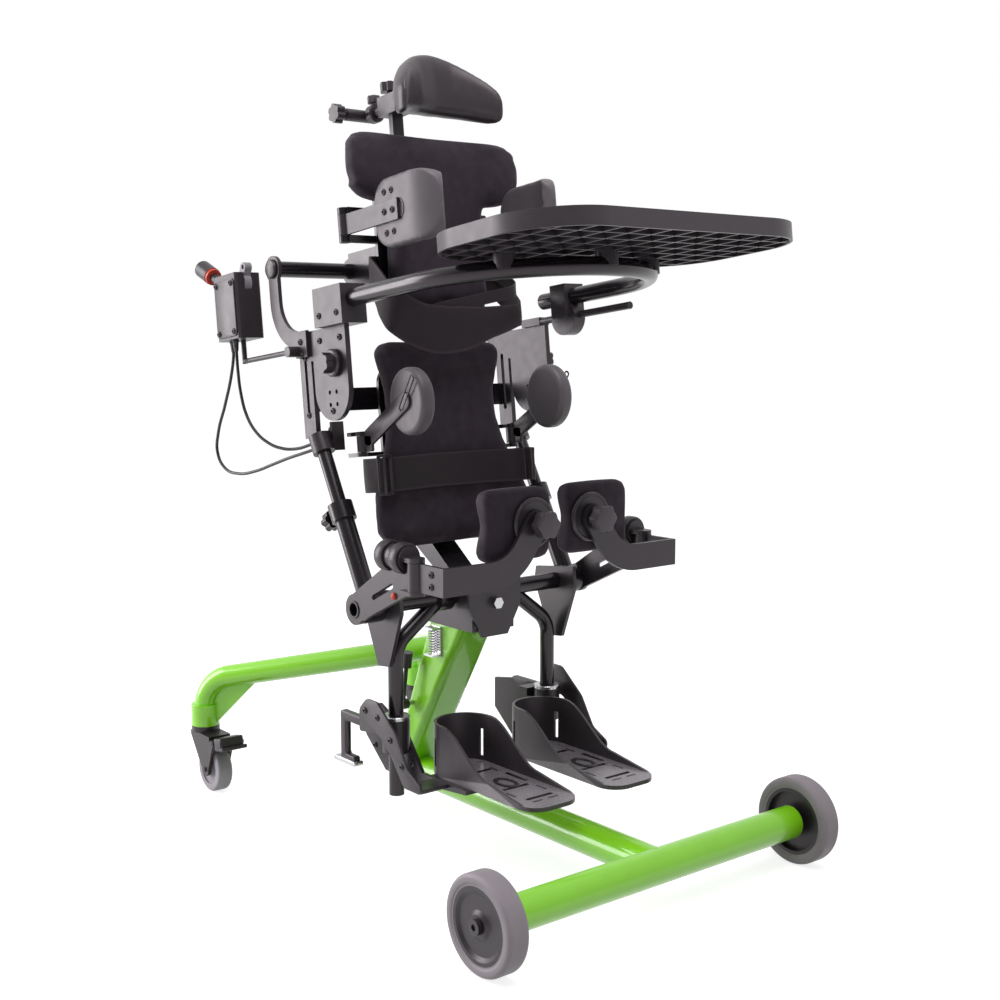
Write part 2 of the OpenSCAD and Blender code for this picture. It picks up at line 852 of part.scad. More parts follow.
module hub(side) {
  bore = axle_d / 2 + fit;
  color(black) sided(side) translate([-track / 2, axle_y, wheel_r]) rotate([0, -90, 0]) rotate_extrude()
    polygon([
      [bore, -hub_boss_w / 2], [hub_boss_r, -hub_boss_w / 2], [hub_boss_r, -hub_web / 2],
      [hub_r - hub_rim_t, -hub_web / 2], [hub_r - hub_rim_t, -hub_rim_w / 2], [hub_r, -hub_rim_w / 2],
      [hub_r, hub_rim_w / 2], [hub_r - hub_rim_t, hub_rim_w / 2], [hub_r - 2 * hub_rim_t, hub_web / 2 + hub_rim_t],
      [hub_boss_r + hub_rim_t, hub_web / 2 + hub_rim_t], [hub_boss_r, hub_boss_w / 2], [bore, hub_boss_w / 2]
    ]);
}
module hub_right() { hub("right"); }
module hub_left() { hub("left"); }
module tyre(side) {
  band = wheel_r - hub_r;
  color(tyre_grey) sided(side) translate([-track / 2, axle_y, wheel_r]) rotate([0, -90, 0]) rotate_extrude() {
    translate([hub_r + band / 2, 0]) rounded_rect(band, wheel_w, tyre_round);
    translate([hub_r + tyre_round / 2, 0]) square([tyre_round, hub_rim_w], center = true);
  }
}
module tyre_right() { tyre("right"); }
module tyre_left() { tyre("left"); }
module at_caster(side) {
  sided(side) translate([-caster_x, caster_y, 0]) children();
}
module fork(side) {
  crown_z = socket_z - gap - crown_h;
  color(black) at_caster(side) difference() {
    union() {
      translate([0, 0, crown_z]) cylinder(d = socket_d, h = crown_h);
      translate([0, 0, socket_z - gap]) cylinder(d = stem_d, h = stem_h);
      translate([-fork_out, pedal_y + pedal_pin_d + fork_gap, roof_z])
        cube([2 * fork_out, roof_back - pedal_y - pedal_pin_d - fork_gap, roof_t]);
      for (s = [-1, 1]) translate([s > 0 ? fork_in : -fork_out, 0, 0]) plate_x(0, fork_t) {
        polygon([
          [roof_back, roof_z], [fork_boss_r - caster_trail, caster_r],
          [-fork_boss_r - caster_trail, caster_r], [pedal_y - pedal_pin_d, roof_z]
        ]);
        translate([-caster_trail, caster_r]) circle(r = fork_boss_r);
        translate([pedal_y, pedal_z]) circle(d = 2 * pedal_pin_d);
      }
      translate([0, -caster_trail, caster_r]) along_x(caster_axle_d, 2 * fork_out + fork_t);
    }
    translate([0, pedal_y, pedal_z]) along_x(pedal_pin_d + 2 * fit, 2 * fork_out + overrun);
  }
}
module fork_right() { fork("right"); }
module fork_left() { fork("left"); }
module caster_wheel(side) {
  color(tyre_grey) at_caster(side) translate([0, -caster_trail, caster_r]) rotate([0, 90, 0]) difference() {
    rotate_extrude() translate([caster_r / 2, 0]) {
      rounded_rect(caster_r, caster_w, caster_round);
      translate([-caster_r / 4, 0]) square([caster_r / 2, caster_w], center = true);
    }
    for (s = [-1, 1]) translate([0, 0, s * caster_w / 2]) difference() {
      cylinder(r = caster_rim_r, h = caster_round, center = true);
      cylinder(r = fork_boss_r, h = caster_w, center = true);
    }
    cylinder(r = caster_bore_r, h = caster_w + overrun, center = true);
  }
}
module caster_wheel_right() { caster_wheel("right"); }
module caster_wheel_left() { caster_wheel("left"); }
module brake(side) {
  neck = fork_in - gap - pedal_t / 2;
  shoulder = -pedal_l + 2 * pedal_t;
  color(black) at_caster(side) translate([0, pedal_y, pedal_z]) {
    along_x(pedal_pin_d, 2 * fork_out + 2 * gap);
    along_x(2 * pedal_pin_d, 2 * (fork_in - gap));
    rotate([-pedal_rise, 0, 0]) translate([0, 0, -pedal_t / 2]) linear_extrude(pedal_t) polygon([
      [-neck, 0], [-neck, shoulder], [-pedal_w / 2, shoulder], [-pedal_w / 2, -pedal_l],
      [pedal_w / 2, -pedal_l], [pedal_w / 2, shoulder], [neck, shoulder], [neck, 0]
    ]);
  }
}
module brake_right() { brake("right"); }
module brake_left() { brake("left"); }
module mast_head() {
  base_y = head_front_y;
  base_l = head_back_y - head_front_y;
  top_z = pivot_z + front_plate_top;
  color(black) {
    difference() {
      union() {
        translate([-cheek_out, base_y, mast_top_z]) cube([2 * cheek_out, base_l, head_plate_t]);
        for (x = [-cheek_out, cheek_in]) plate_x(x, head_plate_t) {
          polygon([
            [head_front_y, mast_top_z], [head_back_y, mast_top_z], [head_back_y, mast_top_z + head_plate_t],
            [pivot_y + head_top, pivot_z], [head_front_y, pivot_z]
          ]);
          translate([pivot_y, pivot_z]) circle(r = head_top);
        }
        plate_y(head_front_y - head_plate_t, head_plate_t) polygon([
          [-front_plate_half, top_z], [-front_plate_half, pivot_z - front_plate_side],
          [-front_plate_foot, pivot_z - front_plate_drop], [front_plate_foot, pivot_z - front_plate_drop],
          [front_plate_half, pivot_z - front_plate_side], [front_plate_half, top_z]
        ]);
      }
      translate([0, pivot_y, pivot_z]) along_x(bar_d + 2 * fit, 2 * cheek_out + overrun);
    }
    translate([0, head_front_y - head_plate_t - front_bolt_h / 2, pivot_z - front_bolt_drop])
      rotate([90, 0, 0]) cylinder(d = front_bolt_d, h = front_bolt_h, center = true, $fn = 6);
  }
}
module lock_spring() {
  x = -mast_w / 2;
  color(bright) {
    translate([x - spring_plate_t, spring_y - spring_plate_w / 2, spring_low_z - (spring_plate_h - spring_l) / 2])
      cube([spring_plate_t, spring_plate_w, spring_plate_h]);
    for (z = [spring_low_z - spring_wire_d - spring_plate_t + spring_seat, spring_low_z + spring_l + spring_wire_d - spring_seat])
      translate([x - spring_lug, spring_y - spring_plate_w / 2, z])
        cube([spring_lug, spring_plate_w, spring_plate_t]);
    translate([x, lock_y, lock_z]) rotate([0, -90, 0]) {
      cylinder(d = lock_pin_d, h = lock_x - mast_w / 2 + lock_boss_d / 2 + gap);
      translate([0, 0, lock_x - mast_w / 2 + lock_boss_d / 2 + gap]) cylinder(d = lock_boss_d - 2, h = lock_head);
    }
    translate([x - spring_plate_t - spring_coil_r - spring_wire_d, spring_y, spring_low_z])
      swept(spring_route(), spring_wire_d, spring_sides);
  }
}
module lock_lever() {
  color(black) translate([-lock_x, lock_y, lock_z]) {
    difference() {
      along_x(lock_boss_d, 2 * (lock_x - mast_w / 2 - gap) * lock_boss_share);
      along_x(lock_pin_d + 2 * fit, lock_x);
    }
    rotate([lock_lean, 0, 0]) {
      translate([0, 0, lock_pin_d / 2 + overrun]) cylinder(d = lock_rod_d, h = lock_l - lock_pin_d / 2 - overrun);
      translate([0, 0, lock_l]) cylinder(d = lock_knob_d, h = lock_knob_h);
    }
  }
}

// Body support
module cross_bar() {
  color(black) translate([0, pivot_y, pivot_z]) difference() {
    along_x(bar_d, bar_l);
    along_x(bar_d - 2 * frame_wall, bar_l + overrun);
  }
}
module on_cane() {
  translate([-cane_x, 0, 0]) rotate([-cane_lean, 0, 0]) children();
}
module cane_brackets() {
  reach = 2 * clamp_d;
  color(grey) reclined() both() plate_x(-cane_plate_x - cane_plate_t, cane_plate_t) difference() {
    union() {
      circle(d = clamp_d);
      polygon([
        [-clamp_d, clamp_d / 2], [0, clamp_d / 2], [clamp_d, clamp_d / 2], [clamp_d * 1.15, 0],
        [clamp_d / 2, -reach], [-clamp_d / 8, -reach], [-clamp_d, -clamp_d / 4]
      ]);
    }
    circle(d = bar_d);
  }
}
module cane_tubes() {
  color(black) reclined() both() {
    difference() {
      union() {
        translate([-cane_x, 0, 0]) along_x(clamp_d, cane_clamp_w);
        on_cane() {
          cylinder(d = cane_d, h = cane_tube_l);
          translate([0, 0, cane_tube_l - collar_h]) cylinder(d = cane_collar_d, h = collar_h);
        }
      }
      translate([-cane_x, 0, 0]) along_x(bar_d, cane_clamp_w + overrun);
      on_cane() translate([0, 0, clamp_d / 2]) cylinder(d = cane_rod_d + 2 * fit, h = cane_tube_l);
    }
    on_cane() translate([0, cane_collar_d / 2 - knob_lobe_r / 4, cane_tube_l - collar_h / 2]) rotate([-90, 0, 0])
      star_knob(knob_reach);
  }
}
module cane_rods() {
  color(black) reclined() both() on_cane() translate([0, 0, cane_tube_l / 2])
    cylinder(d = cane_rod_d, h = cane_l - cane_tube_l / 2);
}
module seat_post() {
  top = board_low + board_h - lug_w / 2;
  color(black) reclined() difference() {
    union() {
      along_x(hub_d, hub_w);
      plate_x(-post_w / 2, post_w) polygon([
        [-hub_d / 4, 0], [hub_d / 2, 0], [post_y + post_d, post_bend_z], [post_y + post_d, top], [post_y, top],
        [post_y, post_bend_z + post_d / 2]
      ]);
      plate_y(board_y, board_t) translate([0, board_low + board_h / 2])
        rounded_rect(2 * board_half_w, board_h, post_d);
      // Lugs that carry the hip supports' pins
      both() {
        translate([-hip_pin_x, hip_pin_y, 0]) for (z = hip_lug_levels())
          translate([0, 0, z]) {
            cylinder(d = hip_knuckle_d, h = hip_lug_h);
            linear_extrude(hip_lug_h) polygon([
              [-hip_knuckle_d / 3, 0], [hip_knuckle_d / 3, 0], [hip_knuckle_d / 3, board_y - hip_pin_y],
              [hip_pin_x - board_half_w + post_d, board_y - hip_pin_y],
              [hip_pin_x - board_half_w + post_d, post_y - hip_pin_y + hip_lug_h],
              [-hip_knuckle_d / 3, post_y - hip_pin_y + hip_lug_h]
            ]);
          }
        translate([-hip_pin_x, hip_pin_y, hip_pin_z - hip_knuckle_h / 2 - hip_lug_h - gap])
          cylinder(d = hip_pin_d, h = hip_knuckle_h + 2 * hip_lug_h + 2 * gap);
      }
    }
    along_x(bar_d, hub_w + overrun);
  }
}
function hip_lug_levels() = [
  hip_pin_z - hip_knuckle_h / 2 - gap - hip_lug_h,
  hip_pin_z + hip_knuckle_h / 2 + gap
];
module seat_pad() {
  color(fabric) reclined() translate([0, 0, seat_low])
    pad(seat_shares, seat_h, seat_half_w, seat_t, seat_front, seat_wing);
}
module lap_belt() {
  color(fabric) reclined() band(lap_route, lap_w, webbing_t);
}
// A hanger's run from the cross bar to its free lower end
module hanger_run() {
  turn_x = hanger_x - hanger_hub_x;
  corner_z = pivot_z - turn_x / tan(hanger_slope);
  tangent = hanger_bend_r * tan(hanger_slope / 2);
  translate([-hanger_x + hanger_bend_r, pivot_y, corner_z - tangent]) rotate([90, 0, 0])
    rotate([0, 0, 180 - hanger_slope]) {
      rotate_extrude(angle = hanger_slope) translate([hanger_bend_r, 0]) circle(d = hanger_d);
      translate([hanger_bend_r, 0, 0]) rotate([90, 0, 0])
        cylinder(d = hanger_d, h = turn_x / sin(hanger_slope) - tangent);
    }
  translate([-hanger_x, pivot_y, hanger_low_z]) cylinder(d = hanger_d, h = corner_z - tangent - hanger_low_z);
}
module hangers() {
  bore_d = hanger_d - 2 * hanger_wall;
  color(black) both() difference() {
    union() {
      hanger_run();
      translate([-hanger_hub_x, pivot_y, pivot_z]) along_x(hanger_hub_d, hanger_hub_w);
    }
    translate([0, pivot_y, pivot_z]) along_x(bar_d, bar_l);
    translate([-hanger_x, pivot_y, hanger_low_z - overrun]) cylinder(d = bore_d, h = foot_clamp_z - hanger_low_z);
  }
}
module knee_bracket() {
  low = knee_pin_z - knee_bar_h / 2 - gap - knee_ear_t;
  high = knee_pin_z + knee_bar_h / 2 + gap;
  end_y = knee_pin_y + knee_knuckle_d / 2 + 1;
  rise = atan2(knee_pin_z - pivot_z, pivot_y - end_y);
  run = norm([knee_pin_z - pivot_z, pivot_y - end_y]);
  plate_x(-knee_plate_x - knee_plate_t, knee_plate_t) difference() {
    union() {
      translate([pivot_y, pivot_z]) circle(d = clamp_d);
      polygon([
        [pivot_y, pivot_z - clamp_d / 2], [end_y, low], [end_y, high + knee_ear_t],
        [end_y + knee_knuckle_d, high + knee_ear_t], [pivot_y + clamp_d / 3, pivot_z + clamp_d / 3]
      ]);
    }
    translate([pivot_y, pivot_z]) circle(d = bar_d);
    translate([pivot_y, pivot_z]) rotate(180 - rise) {
      translate([run / 2 + clamp_d / 8, 0]) square([run / 3, slot_w], center = true);
      for (end = [-1, 1]) translate([run / 2 + clamp_d / 8 + end * run / 6, 0]) circle(d = slot_w);
    }
  }
  for (z = [low, high]) translate([-knee_bar_x, knee_pin_y, z]) linear_extrude(knee_ear_t) {
    circle(d = knee_knuckle_d);
    translate([0, knee_knuckle_d / 2]) square(knee_knuckle_d, center = true);
  }
  translate([-knee_bar_x, knee_pin_y, low]) cylinder(d = knee_pin_d, h = high - low + knee_ear_t);
  translate([-knee_bar_x, end_y + overrun + knee_block_l / 2, knee_pin_z + knee_block_rise])
    along_y(knee_block_d, knee_block_l);
}
module knee_brackets() {
  color(black) both() knee_bracket();
}

// Back
module side_frame(side) {
  color(black) sided(side) reclined() difference() {
    union() {
      plate_x(-side_x - side_t, side_t) {
        translate([upright_y, upright_low]) square([upright_w, upright_top - upright_low]);
        translate([plate_y, upright_top - bridge_h]) square([upright_y + upright_w - plate_y, bridge_h]);
        translate([plate_y, plate_low + plate_w / 2])
          square([plate_w, upright_top - plate_low - plate_w / 2]);
        translate([plate_y + plate_w / 2, plate_low + plate_w / 2]) circle(d = plate_w);
      }
      // Socket for the inner rod of the cane
      on_cane() translate([0, 0, cane_l - socket_depth + socket_wall])
        cylinder(d = cane_rod_d + 2 * socket_wall, h = socket_depth);
      // Curved arm up to the back tube
      plate_x(-side_x - side_t - arm_t, arm_t) {
        translate([back_tube_y - arm_r, arm_low_z + arm_r]) intersection() {
          difference() {
            circle(r = arm_r + arm_w / 2);
            circle(r = arm_r - arm_w / 2);
          }
          translate([0, -2 * arm_r]) square(2 * arm_r);
        }
        translate([back_tube_y - arm_w / 2, arm_low_z + arm_r])
          square([arm_w, back_tube_z - arm_low_z - arm_r]);
        translate([back_tube_y, back_tube_z]) circle(d = 1.5 * arm_w);
        translate([upright_y, arm_low_z - arm_w]) square([upright_w, 1.5 * arm_w]);
      }
      if (side == "right") {
        // Cable stop and the clamp of the control box's rod
        translate([-cable_stop_x, cable_stop_y - cable_stop_t, cable_stop_z - cable_stop_w / 3])
          cube([cable_stop_x - cable_stop_in, cable_stop_t, cable_stop_w]);
        translate([-box_rod_x - box_rod_d, box_rod_y, box_rod_z]) rotate([0, 90, 0])
          cylinder(d = 2 * box_rod_d, h = box_rod_x + box_rod_d - side_x - side_t);
      }
    }
    on_cane() cylinder(d = cane_rod_d, h = cane_l);
    translate([0, back_tube_y, back_tube_z]) along_x(back_tube_d, 3 * cane_x);
    plate_x(-side_x - side_t - overrun, side_t + 2 * overrun) {
      translate([upright_y + upright_w / 2 - slot_w / 2, slot_low]) square([slot_w, slot_l]);
      for (end = [0, 1]) translate([upright_y + upright_w / 2, slot_low + end * slot_l]) circle(d = slot_w);
      for (i = [-1, 1], j = [-1, 1]) translate([bolt_y + i * bolt_pitch / 2, bolt_z + j * bolt_pitch / 2]) circle(d = bolt_d);
    }
    if (side == "right") translate([-box_rod_x, box_rod_y, box_rod_z])
      along_y(box_rod_d, 3 * box_rod_d);
  }
  color(black) sided(side) reclined() translate([-side_x - side_t, side_knob_y, side_knob_z]) rotate([0, -90, 0])
    star_knob(knob_reach);
}
module side_frame_right() { side_frame("right"); }
module side_frame_left() { side_frame("left"); }
module hip_bar() {
  color(black) reclined() translate([-side_x, hip_bar_y, hip_bar_z - hip_bar_h / 2])
    cube([2 * side_x, hip_bar_t, hip_bar_h]);
}
module back_tube() {
  color(black) reclined() translate([0, back_tube_y, back_tube_z])
    along_x(back_tube_d, 2 * (side_x + side_t + arm_t + overrun));
}
function chest_lug_levels() = [
  chest_z - chest_arm_h / 2 - gap - chest_lug_h,
  chest_z + chest_arm_h / 2 + gap
];
module back_board() {
  rear = back_board_y + board_t;
  color(black) reclined() difference() {
    union() {
      plate_y(back_board_y, board_t) translate([0, back_board_low + back_board_h / 2])
        rounded_rect(2 * back_board_half_w, back_board_h, chest_round);
      for (s = [-1, 1]) translate([s * rib_x, 0, 0]) plate_x(-rib_t / 2, rib_t) {
        translate([rear, rib_low]) square([back_tube_y - rear, rib_h]);
        translate([back_tube_y, back_tube_z]) circle(d = 1.5 * arm_w);
      }
      translate([-sleeve_w / 2, rear, sleeve_z]) cube([sleeve_w, sleeve_d, sleeve_h]);
      both() {
        for (z = chest_lug_levels()) translate([-chest_pin_x, chest_pin_y, z]) {
          cylinder(d = chest_knuckle_d, h = chest_lug_h);
          translate([0, rear - chest_pin_y, 0])
            cube([chest_pin_x - back_board_half_w + chest_round, chest_pin_y - rear, chest_lug_h]);
        }
        translate([-chest_pin_x, chest_pin_y, chest_lug_levels()[0]])
          cylinder(d = chest_pin_d, h = chest_arm_h + 2 * chest_lug_h + 2 * gap);
      }
    }
    translate([0, back_tube_y, back_tube_z]) along_x(back_tube_d, 2 * side_x);
    translate([-head_post_w / 2 - slide_fit, head_post_y - head_post_d / 2 - slide_fit, sleeve_z - overrun])
      cube([head_post_w + 2 * slide_fit, head_post_d + 2 * slide_fit, sleeve_h + 2 * overrun]);
  }
}
module back_pad() {
  color(fabric) reclined() translate([0, 0, back_low])
    pad(back_shares, back_h, back_half_w, back_t, back_front, back_wing);
}
module chest_strap() {
  color(fabric) reclined() band(chest_route, strap_w, webbing_t);
}
module tray_clamps() {
  // A block on the right upright; a rod with a disc clamp on the left one
  color(black) reclined() {
    difference() {
      translate([-rail_x - clamp_block_w / 2, clamp_block_y, clamp_block_low])
        cube([clamp_block_w, clamp_block_l, clamp_block_h]);
      translate([-rail_x, 0, rail_z]) along_y(rail_d + 2 * rail_fit, 2 * clamp_block_l + overrun);
    }
    difference() {
      union() {
        translate([rail_x, rod_back_y - rod_l / 2, rod_z]) along_y(rod_d, rod_l);
        translate([cane_x - saddle_w / 2, rod_back_y - saddle_l, upright_top]) cube([saddle_w, saddle_l, rod_d + 1]);
        translate([rail_x, disc_y, disc_z]) along_x(disc_d, disc_w);
        translate([rail_x - grip_w / 2, disc_y - grip_l / 2, disc_z])
          cube([grip_w, grip_l, rail_z + grip_w / 2 - disc_z]);
      }
      translate([rail_x, disc_y, rail_z]) along_y(rail_d + 2 * rail_fit, disc_d + grip_l);
    }
  }
}
module control_box() {
  color(black) reclined() difference() {
    union() {
      translate([-box_x, box_y + box_l / 2, box_z]) linear_extrude(box_h)
        rounded_rect(box_w, box_l, box_round);
      translate([-box_rod_x, box_rod_y - box_rod_d, box_rod_z]) rotate([-90, 0, 0])
        cylinder(d = box_rod_d, h = box_y + box_l / 2 - box_rod_y + box_rod_d);
      translate([-box_rod_x, box_y + box_l / 2, box_rod_z - box_rod_d / 2])
        cylinder(d = box_rod_d, h = box_z - box_rod_z + box_rod_d / 2);
    }
    at_press() translate([0, 0, -press_travel - gap]) cylinder(d = press_neck_d + 2 * fit, h = press_neck_l + box_l);
    translate([-box_x, lever_at_y, lever_at_z]) {
      along_x(lever_pin_d + 2 * fit, box_w + overrun);
      along_x(lever_plate_w + 2 * overrun, lever_plate_t + 2 * gap);
      translate([-lever_plate_t / 2 - gap, -lever_plate_w, 0]) cube([lever_plate_t + 2 * gap, lever_plate_w, box_h]);
      translate([-lever_plate_t / 2 - gap, -overrun, 0])
        cube([lever_plate_t + 2 * gap, lever_plate_w / 2 + 2 * overrun, box_h]);
    }
  }
}
// The press knob's axis starts inside the box and leans up to the rear
module at_press() {
  translate([-box_x, box_y + box_l - press_neck_l, box_z + box_h - press_in])
    rotate([-90 + knob_axis_tilt, 0, 0]) children();
}
module control_knob() {
  color(black) reclined() at_press() {
    cylinder(d = press_neck_d, h = press_neck_l + press_out);
    translate([0, 0, press_neck_l + press_out]) {
      cylinder(d = press_d - overrun, h = press_ring_l);
      translate([0, 0, press_ring_l]) cylinder(d = press_d, h = press_l);
    }
  }
}
module control_lever() {
  color(grey) reclined() translate([-box_x, lever_at_y, lever_at_z]) {
    along_x(lever_pin_d, box_w);
    plate_x(-lever_plate_t / 2, lever_plate_t) {
      circle(d = lever_plate_w);
      difference() {
        rotate(lever_at_turn) {
          translate([lever_plate_l / 2, 0]) square([lever_plate_l, lever_tip_d], center = true);
          translate([lever_plate_l, 0]) circle(d = lever_tip_d);
        }
        rotate(lever_at_turn) translate([lever_plate_l, 0]) circle(d = lever_tip_d / 2);
      }
    }
  }
}
module cables() {
  color(black) reclined() {
    swept(cable_a_route, cable_d, cable_sides);
    swept(cable_b_route, cable_d, cable_sides);
  }
}

// Tray
// The right leg ends inside its block, the left one just behind its clamp
function rail_end(s) = s < 0 ? rail_back_y : rail_far_y;
module rail_run(d) {
  for (s = [-1, 1]) translate([s * rail_x, (rail_end(s) + rail_bow_y) / 2, rail_z])
    along_y(d, rail_end(s) - rail_bow_y);
  translate([0, rail_bow_y, rail_z]) rotate([0, 0, 180]) rotate_extrude(angle = 180)
    translate([rail_x, 0]) circle(d = d);
}
module tray_rail() {
  color(black) reclined() difference() {
    rail_run(rail_d);
    rail_run(rail_d - 2 * rail_wall);
    for (s = [-1, 1]) translate([s * rail_x, rail_end(s), rail_z]) along_y(rail_d - 2 * rail_wall, overrun);
  }
}
module tray_outline(inset) {
  difference() {
    rounded_rect(tray_w - 2 * inset, tray_l - 2 * inset, tray_r - inset);
    translate([0, tray_l / 2 + belly_r - belly_depth]) circle(r = belly_r + inset, $fn = 96);
  }
}
module tray_top() {
  color(black) reclined() difference() {
    translate([0, tray_y, tray_z]) {
      difference() {
        linear_extrude(tray_rim_h) tray_outline(0);
        translate([0, 0, rib_depth + tray_skin]) linear_extrude(tray_rim_h) tray_outline(tray_wall);
        translate([0, 0, -overrun]) linear_extrude(rib_depth + overrun) difference() {
          tray_outline(tray_wall);
          for (i = [1 : tray_cells_x - 1])
            translate([-tray_w / 2 + i * tray_w / tray_cells_x, 0]) square([rib_thick, tray_l], center = true);
          for (j = [1 : tray_cells_y - 1])
            translate([0, -tray_l / 2 + j * tray_l / tray_cells_y]) square([tray_w, rib_thick], center = true);
          for (a = tray_boss_angles)
            translate([rail_x * cos(a), rail_bow_y - tray_y + rail_x * sin(a)]) circle(d = tray_boss_d);
        }
      }
      for (a = tray_boss_angles) translate([rail_x * cos(a), rail_bow_y - tray_y + rail_x * sin(a), rail_z - tray_z])
        cylinder(d = tray_boss_d, h = tray_z - rail_z);
    }
    rail_run(rail_d);
  }
}

// Chest and hip supports
module chest_plan() {
  translate([-chest_x, chest_back_y - chest_flat]) square([chest_t, chest_flat]);
  translate([chest_curve_r - chest_x, chest_back_y - chest_flat]) intersection() {
    difference() {
      circle(r = chest_curve_r);
      circle(r = chest_curve_r - chest_t);
    }
    polygon([
      [0, 0], [-2 * chest_curve_r, 0],
      [-2 * chest_curve_r * cos(chest_turn), -2 * chest_curve_r * sin(chest_turn)]
    ]);
  }
}
module chest_pad(side) {
  front = chest_back_y - chest_flat - chest_curve_r * sin(chest_turn);
  color(grey) sided(side) reclined() intersection() {
    translate([0, 0, chest_z - chest_h / 2]) linear_extrude(chest_h) chest_plan();
    plate_x(-2 * chest_x, 2 * chest_x) translate([(chest_back_y + front) / 2, chest_z])
      rounded_rect(chest_back_y - front, chest_h, chest_round);
  }
}
module chest_pad_right() { chest_pad("right"); }
module chest_pad_left() { chest_pad("left"); }
module chest_arm(side) {
  color(black) sided(side) reclined() translate([-chest_pin_x, chest_pin_y, chest_z - chest_arm_h / 2]) difference() {
    union() {
      cylinder(d = chest_knuckle_d, h = chest_arm_h);
      translate([-chest_arm_t / 2, chest_back_y - chest_arm_reach - chest_pin_y, 0])
        cube([chest_arm_t, chest_pin_y - chest_back_y + chest_arm_reach, chest_arm_h]);
    }
    translate([0, 0, -overrun]) cylinder(d = chest_pin_d + 2 * fit, h = chest_arm_h + 2 * overrun);
  }
}
module chest_arm_right() { chest_arm("right"); }
module chest_arm_left() { chest_arm("left"); }
module hip(side) {
  rise = atan2(hip_z - hip_pin_z, hip_pin_y - hip_y);
  run = norm([hip_z - hip_pin_z, hip_pin_y - hip_y]);
  color(black) sided(side) reclined() difference() {
    union() {
      translate([-hip_pin_x, hip_pin_y, hip_pin_z - hip_knuckle_h / 2]) cylinder(d = hip_knuckle_d, h = hip_knuckle_h);
      plate_x(-hip_x - hip_arm_t, hip_arm_t) {
        translate([hip_pin_y, hip_pin_z]) rotate(180 - rise) translate([hip_arm_start, -hip_arm_w / 2])
          square([run - hip_arm_start, hip_arm_w]);
        translate([hip_pin_y - hip_arm_w, hip_pin_z - hip_knuckle_h / 2]) square([hip_arm_w, hip_knuckle_h]);
        translate([hip_y, hip_z]) circle(d = hip_arm_w);
      }
      plate_x(-hip_x, hip_t) translate([hip_y, hip_z]) scale([hip_l / hip_h, 1]) circle(d = hip_h);
    }
    translate([-hip_pin_x, hip_pin_y, 0]) cylinder(d = hip_pin_d + 2 * fit, h = 2 * hip_pin_z);
  }
}
module hip_right() { hip("right"); }
module hip_left() { hip("left"); }

// Knee supports
module knee_arm(side) {
  arc_x = hanger_x - hanger_bend_r / 4;
  end_x = arc_x - knee_arc_r * sin(knee_rise);
  end_z = knee_pin_z + knee_arc_r * (1 - cos(knee_rise));
  run = (end_x - knee_x) / cos(knee_rise);
  tip_z = end_z + run * sin(knee_rise);
  color(black) sided(side) difference() {
    union() {
      translate([-knee_bar_x, knee_pin_y, knee_pin_z - knee_bar_h / 2])
        cylinder(d = knee_knuckle_d, h = knee_bar_h);
      translate([-knee_bar_x - knee_bar_t / 2, knee_bar_y - knee_bar_t, knee_pin_z - knee_bar_h / 2])
        cube([knee_bar_t, knee_pin_y - knee_bar_y + knee_bar_t, knee_bar_h]);
      plate_y(knee_bar_y - knee_bar_t, knee_bar_t) {
        polygon(concat(
          [[-knee_bar_x, knee_pin_z - knee_bar_h / 2]],
          knee_edge(-arc_x, knee_arc_r + knee_bar_h / 2, 0),
          [[-knee_x + sin(knee_rise) * knee_bar_h / 2, tip_z - cos(knee_rise) * knee_bar_h / 2]],
          [[-knee_x - sin(knee_rise) * knee_bar_h / 2, tip_z + cos(knee_rise) * knee_bar_h / 2]],
          knee_edge(-arc_x, knee_arc_r - knee_bar_h / 2, 1),
          [[-knee_bar_x, knee_pin_z + knee_bar_h / 2]]
        ));
        translate([-knee_x, tip_z]) circle(d = knee_bar_h);
      }
      // Stud and knob in front, washer and pin behind
      translate([-knee_x, knee_bar_y - knee_bar_t, tip_z]) rotate([90, 0, 0]) star_knob(knob_reach);
      translate([-knee_x, knee_bar_y, tip_z]) rotate([-90, 0, 0]) {
        cylinder(d = knee_washer_d, h = knee_pad_y - knee_bar_y - gap);
        cylinder(d = knee_stud_d, h = knee_pad_y - knee_bar_y + knee_stud_l);
      }
    }
    translate([-knee_bar_x, knee_pin_y, 0]) cylinder(d = knee_pin_d + 2 * fit, h = 2 * knee_pin_z);
  }
}
module knee_arm_right() { knee_arm("right"); }
module knee_arm_left() { knee_arm("left"); }
module knee_pad(side) {
  color(fabric) sided(side) difference() {
    translate([-knee_pad_x, 0, knee_z - knee_pad_h / 2 - knee_pad_drop])
      pad(knee_shares, knee_pad_h, knee_pad_w / 2, knee_pad_t, knee_pad_y, knee_wing);
    translate([-knee_x, knee_pad_y - overrun, knee_tip_z()]) rotate([-90, 0, 0])
      cylinder(d = knee_stud_d + 2 * fit, h = knee_stud_l + gap + overrun);
  }
}
// One edge of the knee arm's bend, in steps, from its start or back to it
function knee_edge(x, r, back) = [
  for (i = [0 : knee_steps])
    let (a = knee_rise * (back == 1 ? knee_steps - i : i) / knee_steps)
    [x + r * sin(a), knee_pin_z + knee_arc_r - r * cos(a)]
];
function knee_tip_z() =
  let (arc_x = hanger_x - hanger_bend_r / 4)
  knee_pin_z + knee_arc_r * (1 - cos(knee_rise))
  + (arc_x - knee_arc_r * sin(knee_rise) - knee_x) * tan(knee_rise);
module knee_pad_right() { knee_pad("right"); }
module knee_pad_left() { knee_pad("left"); }

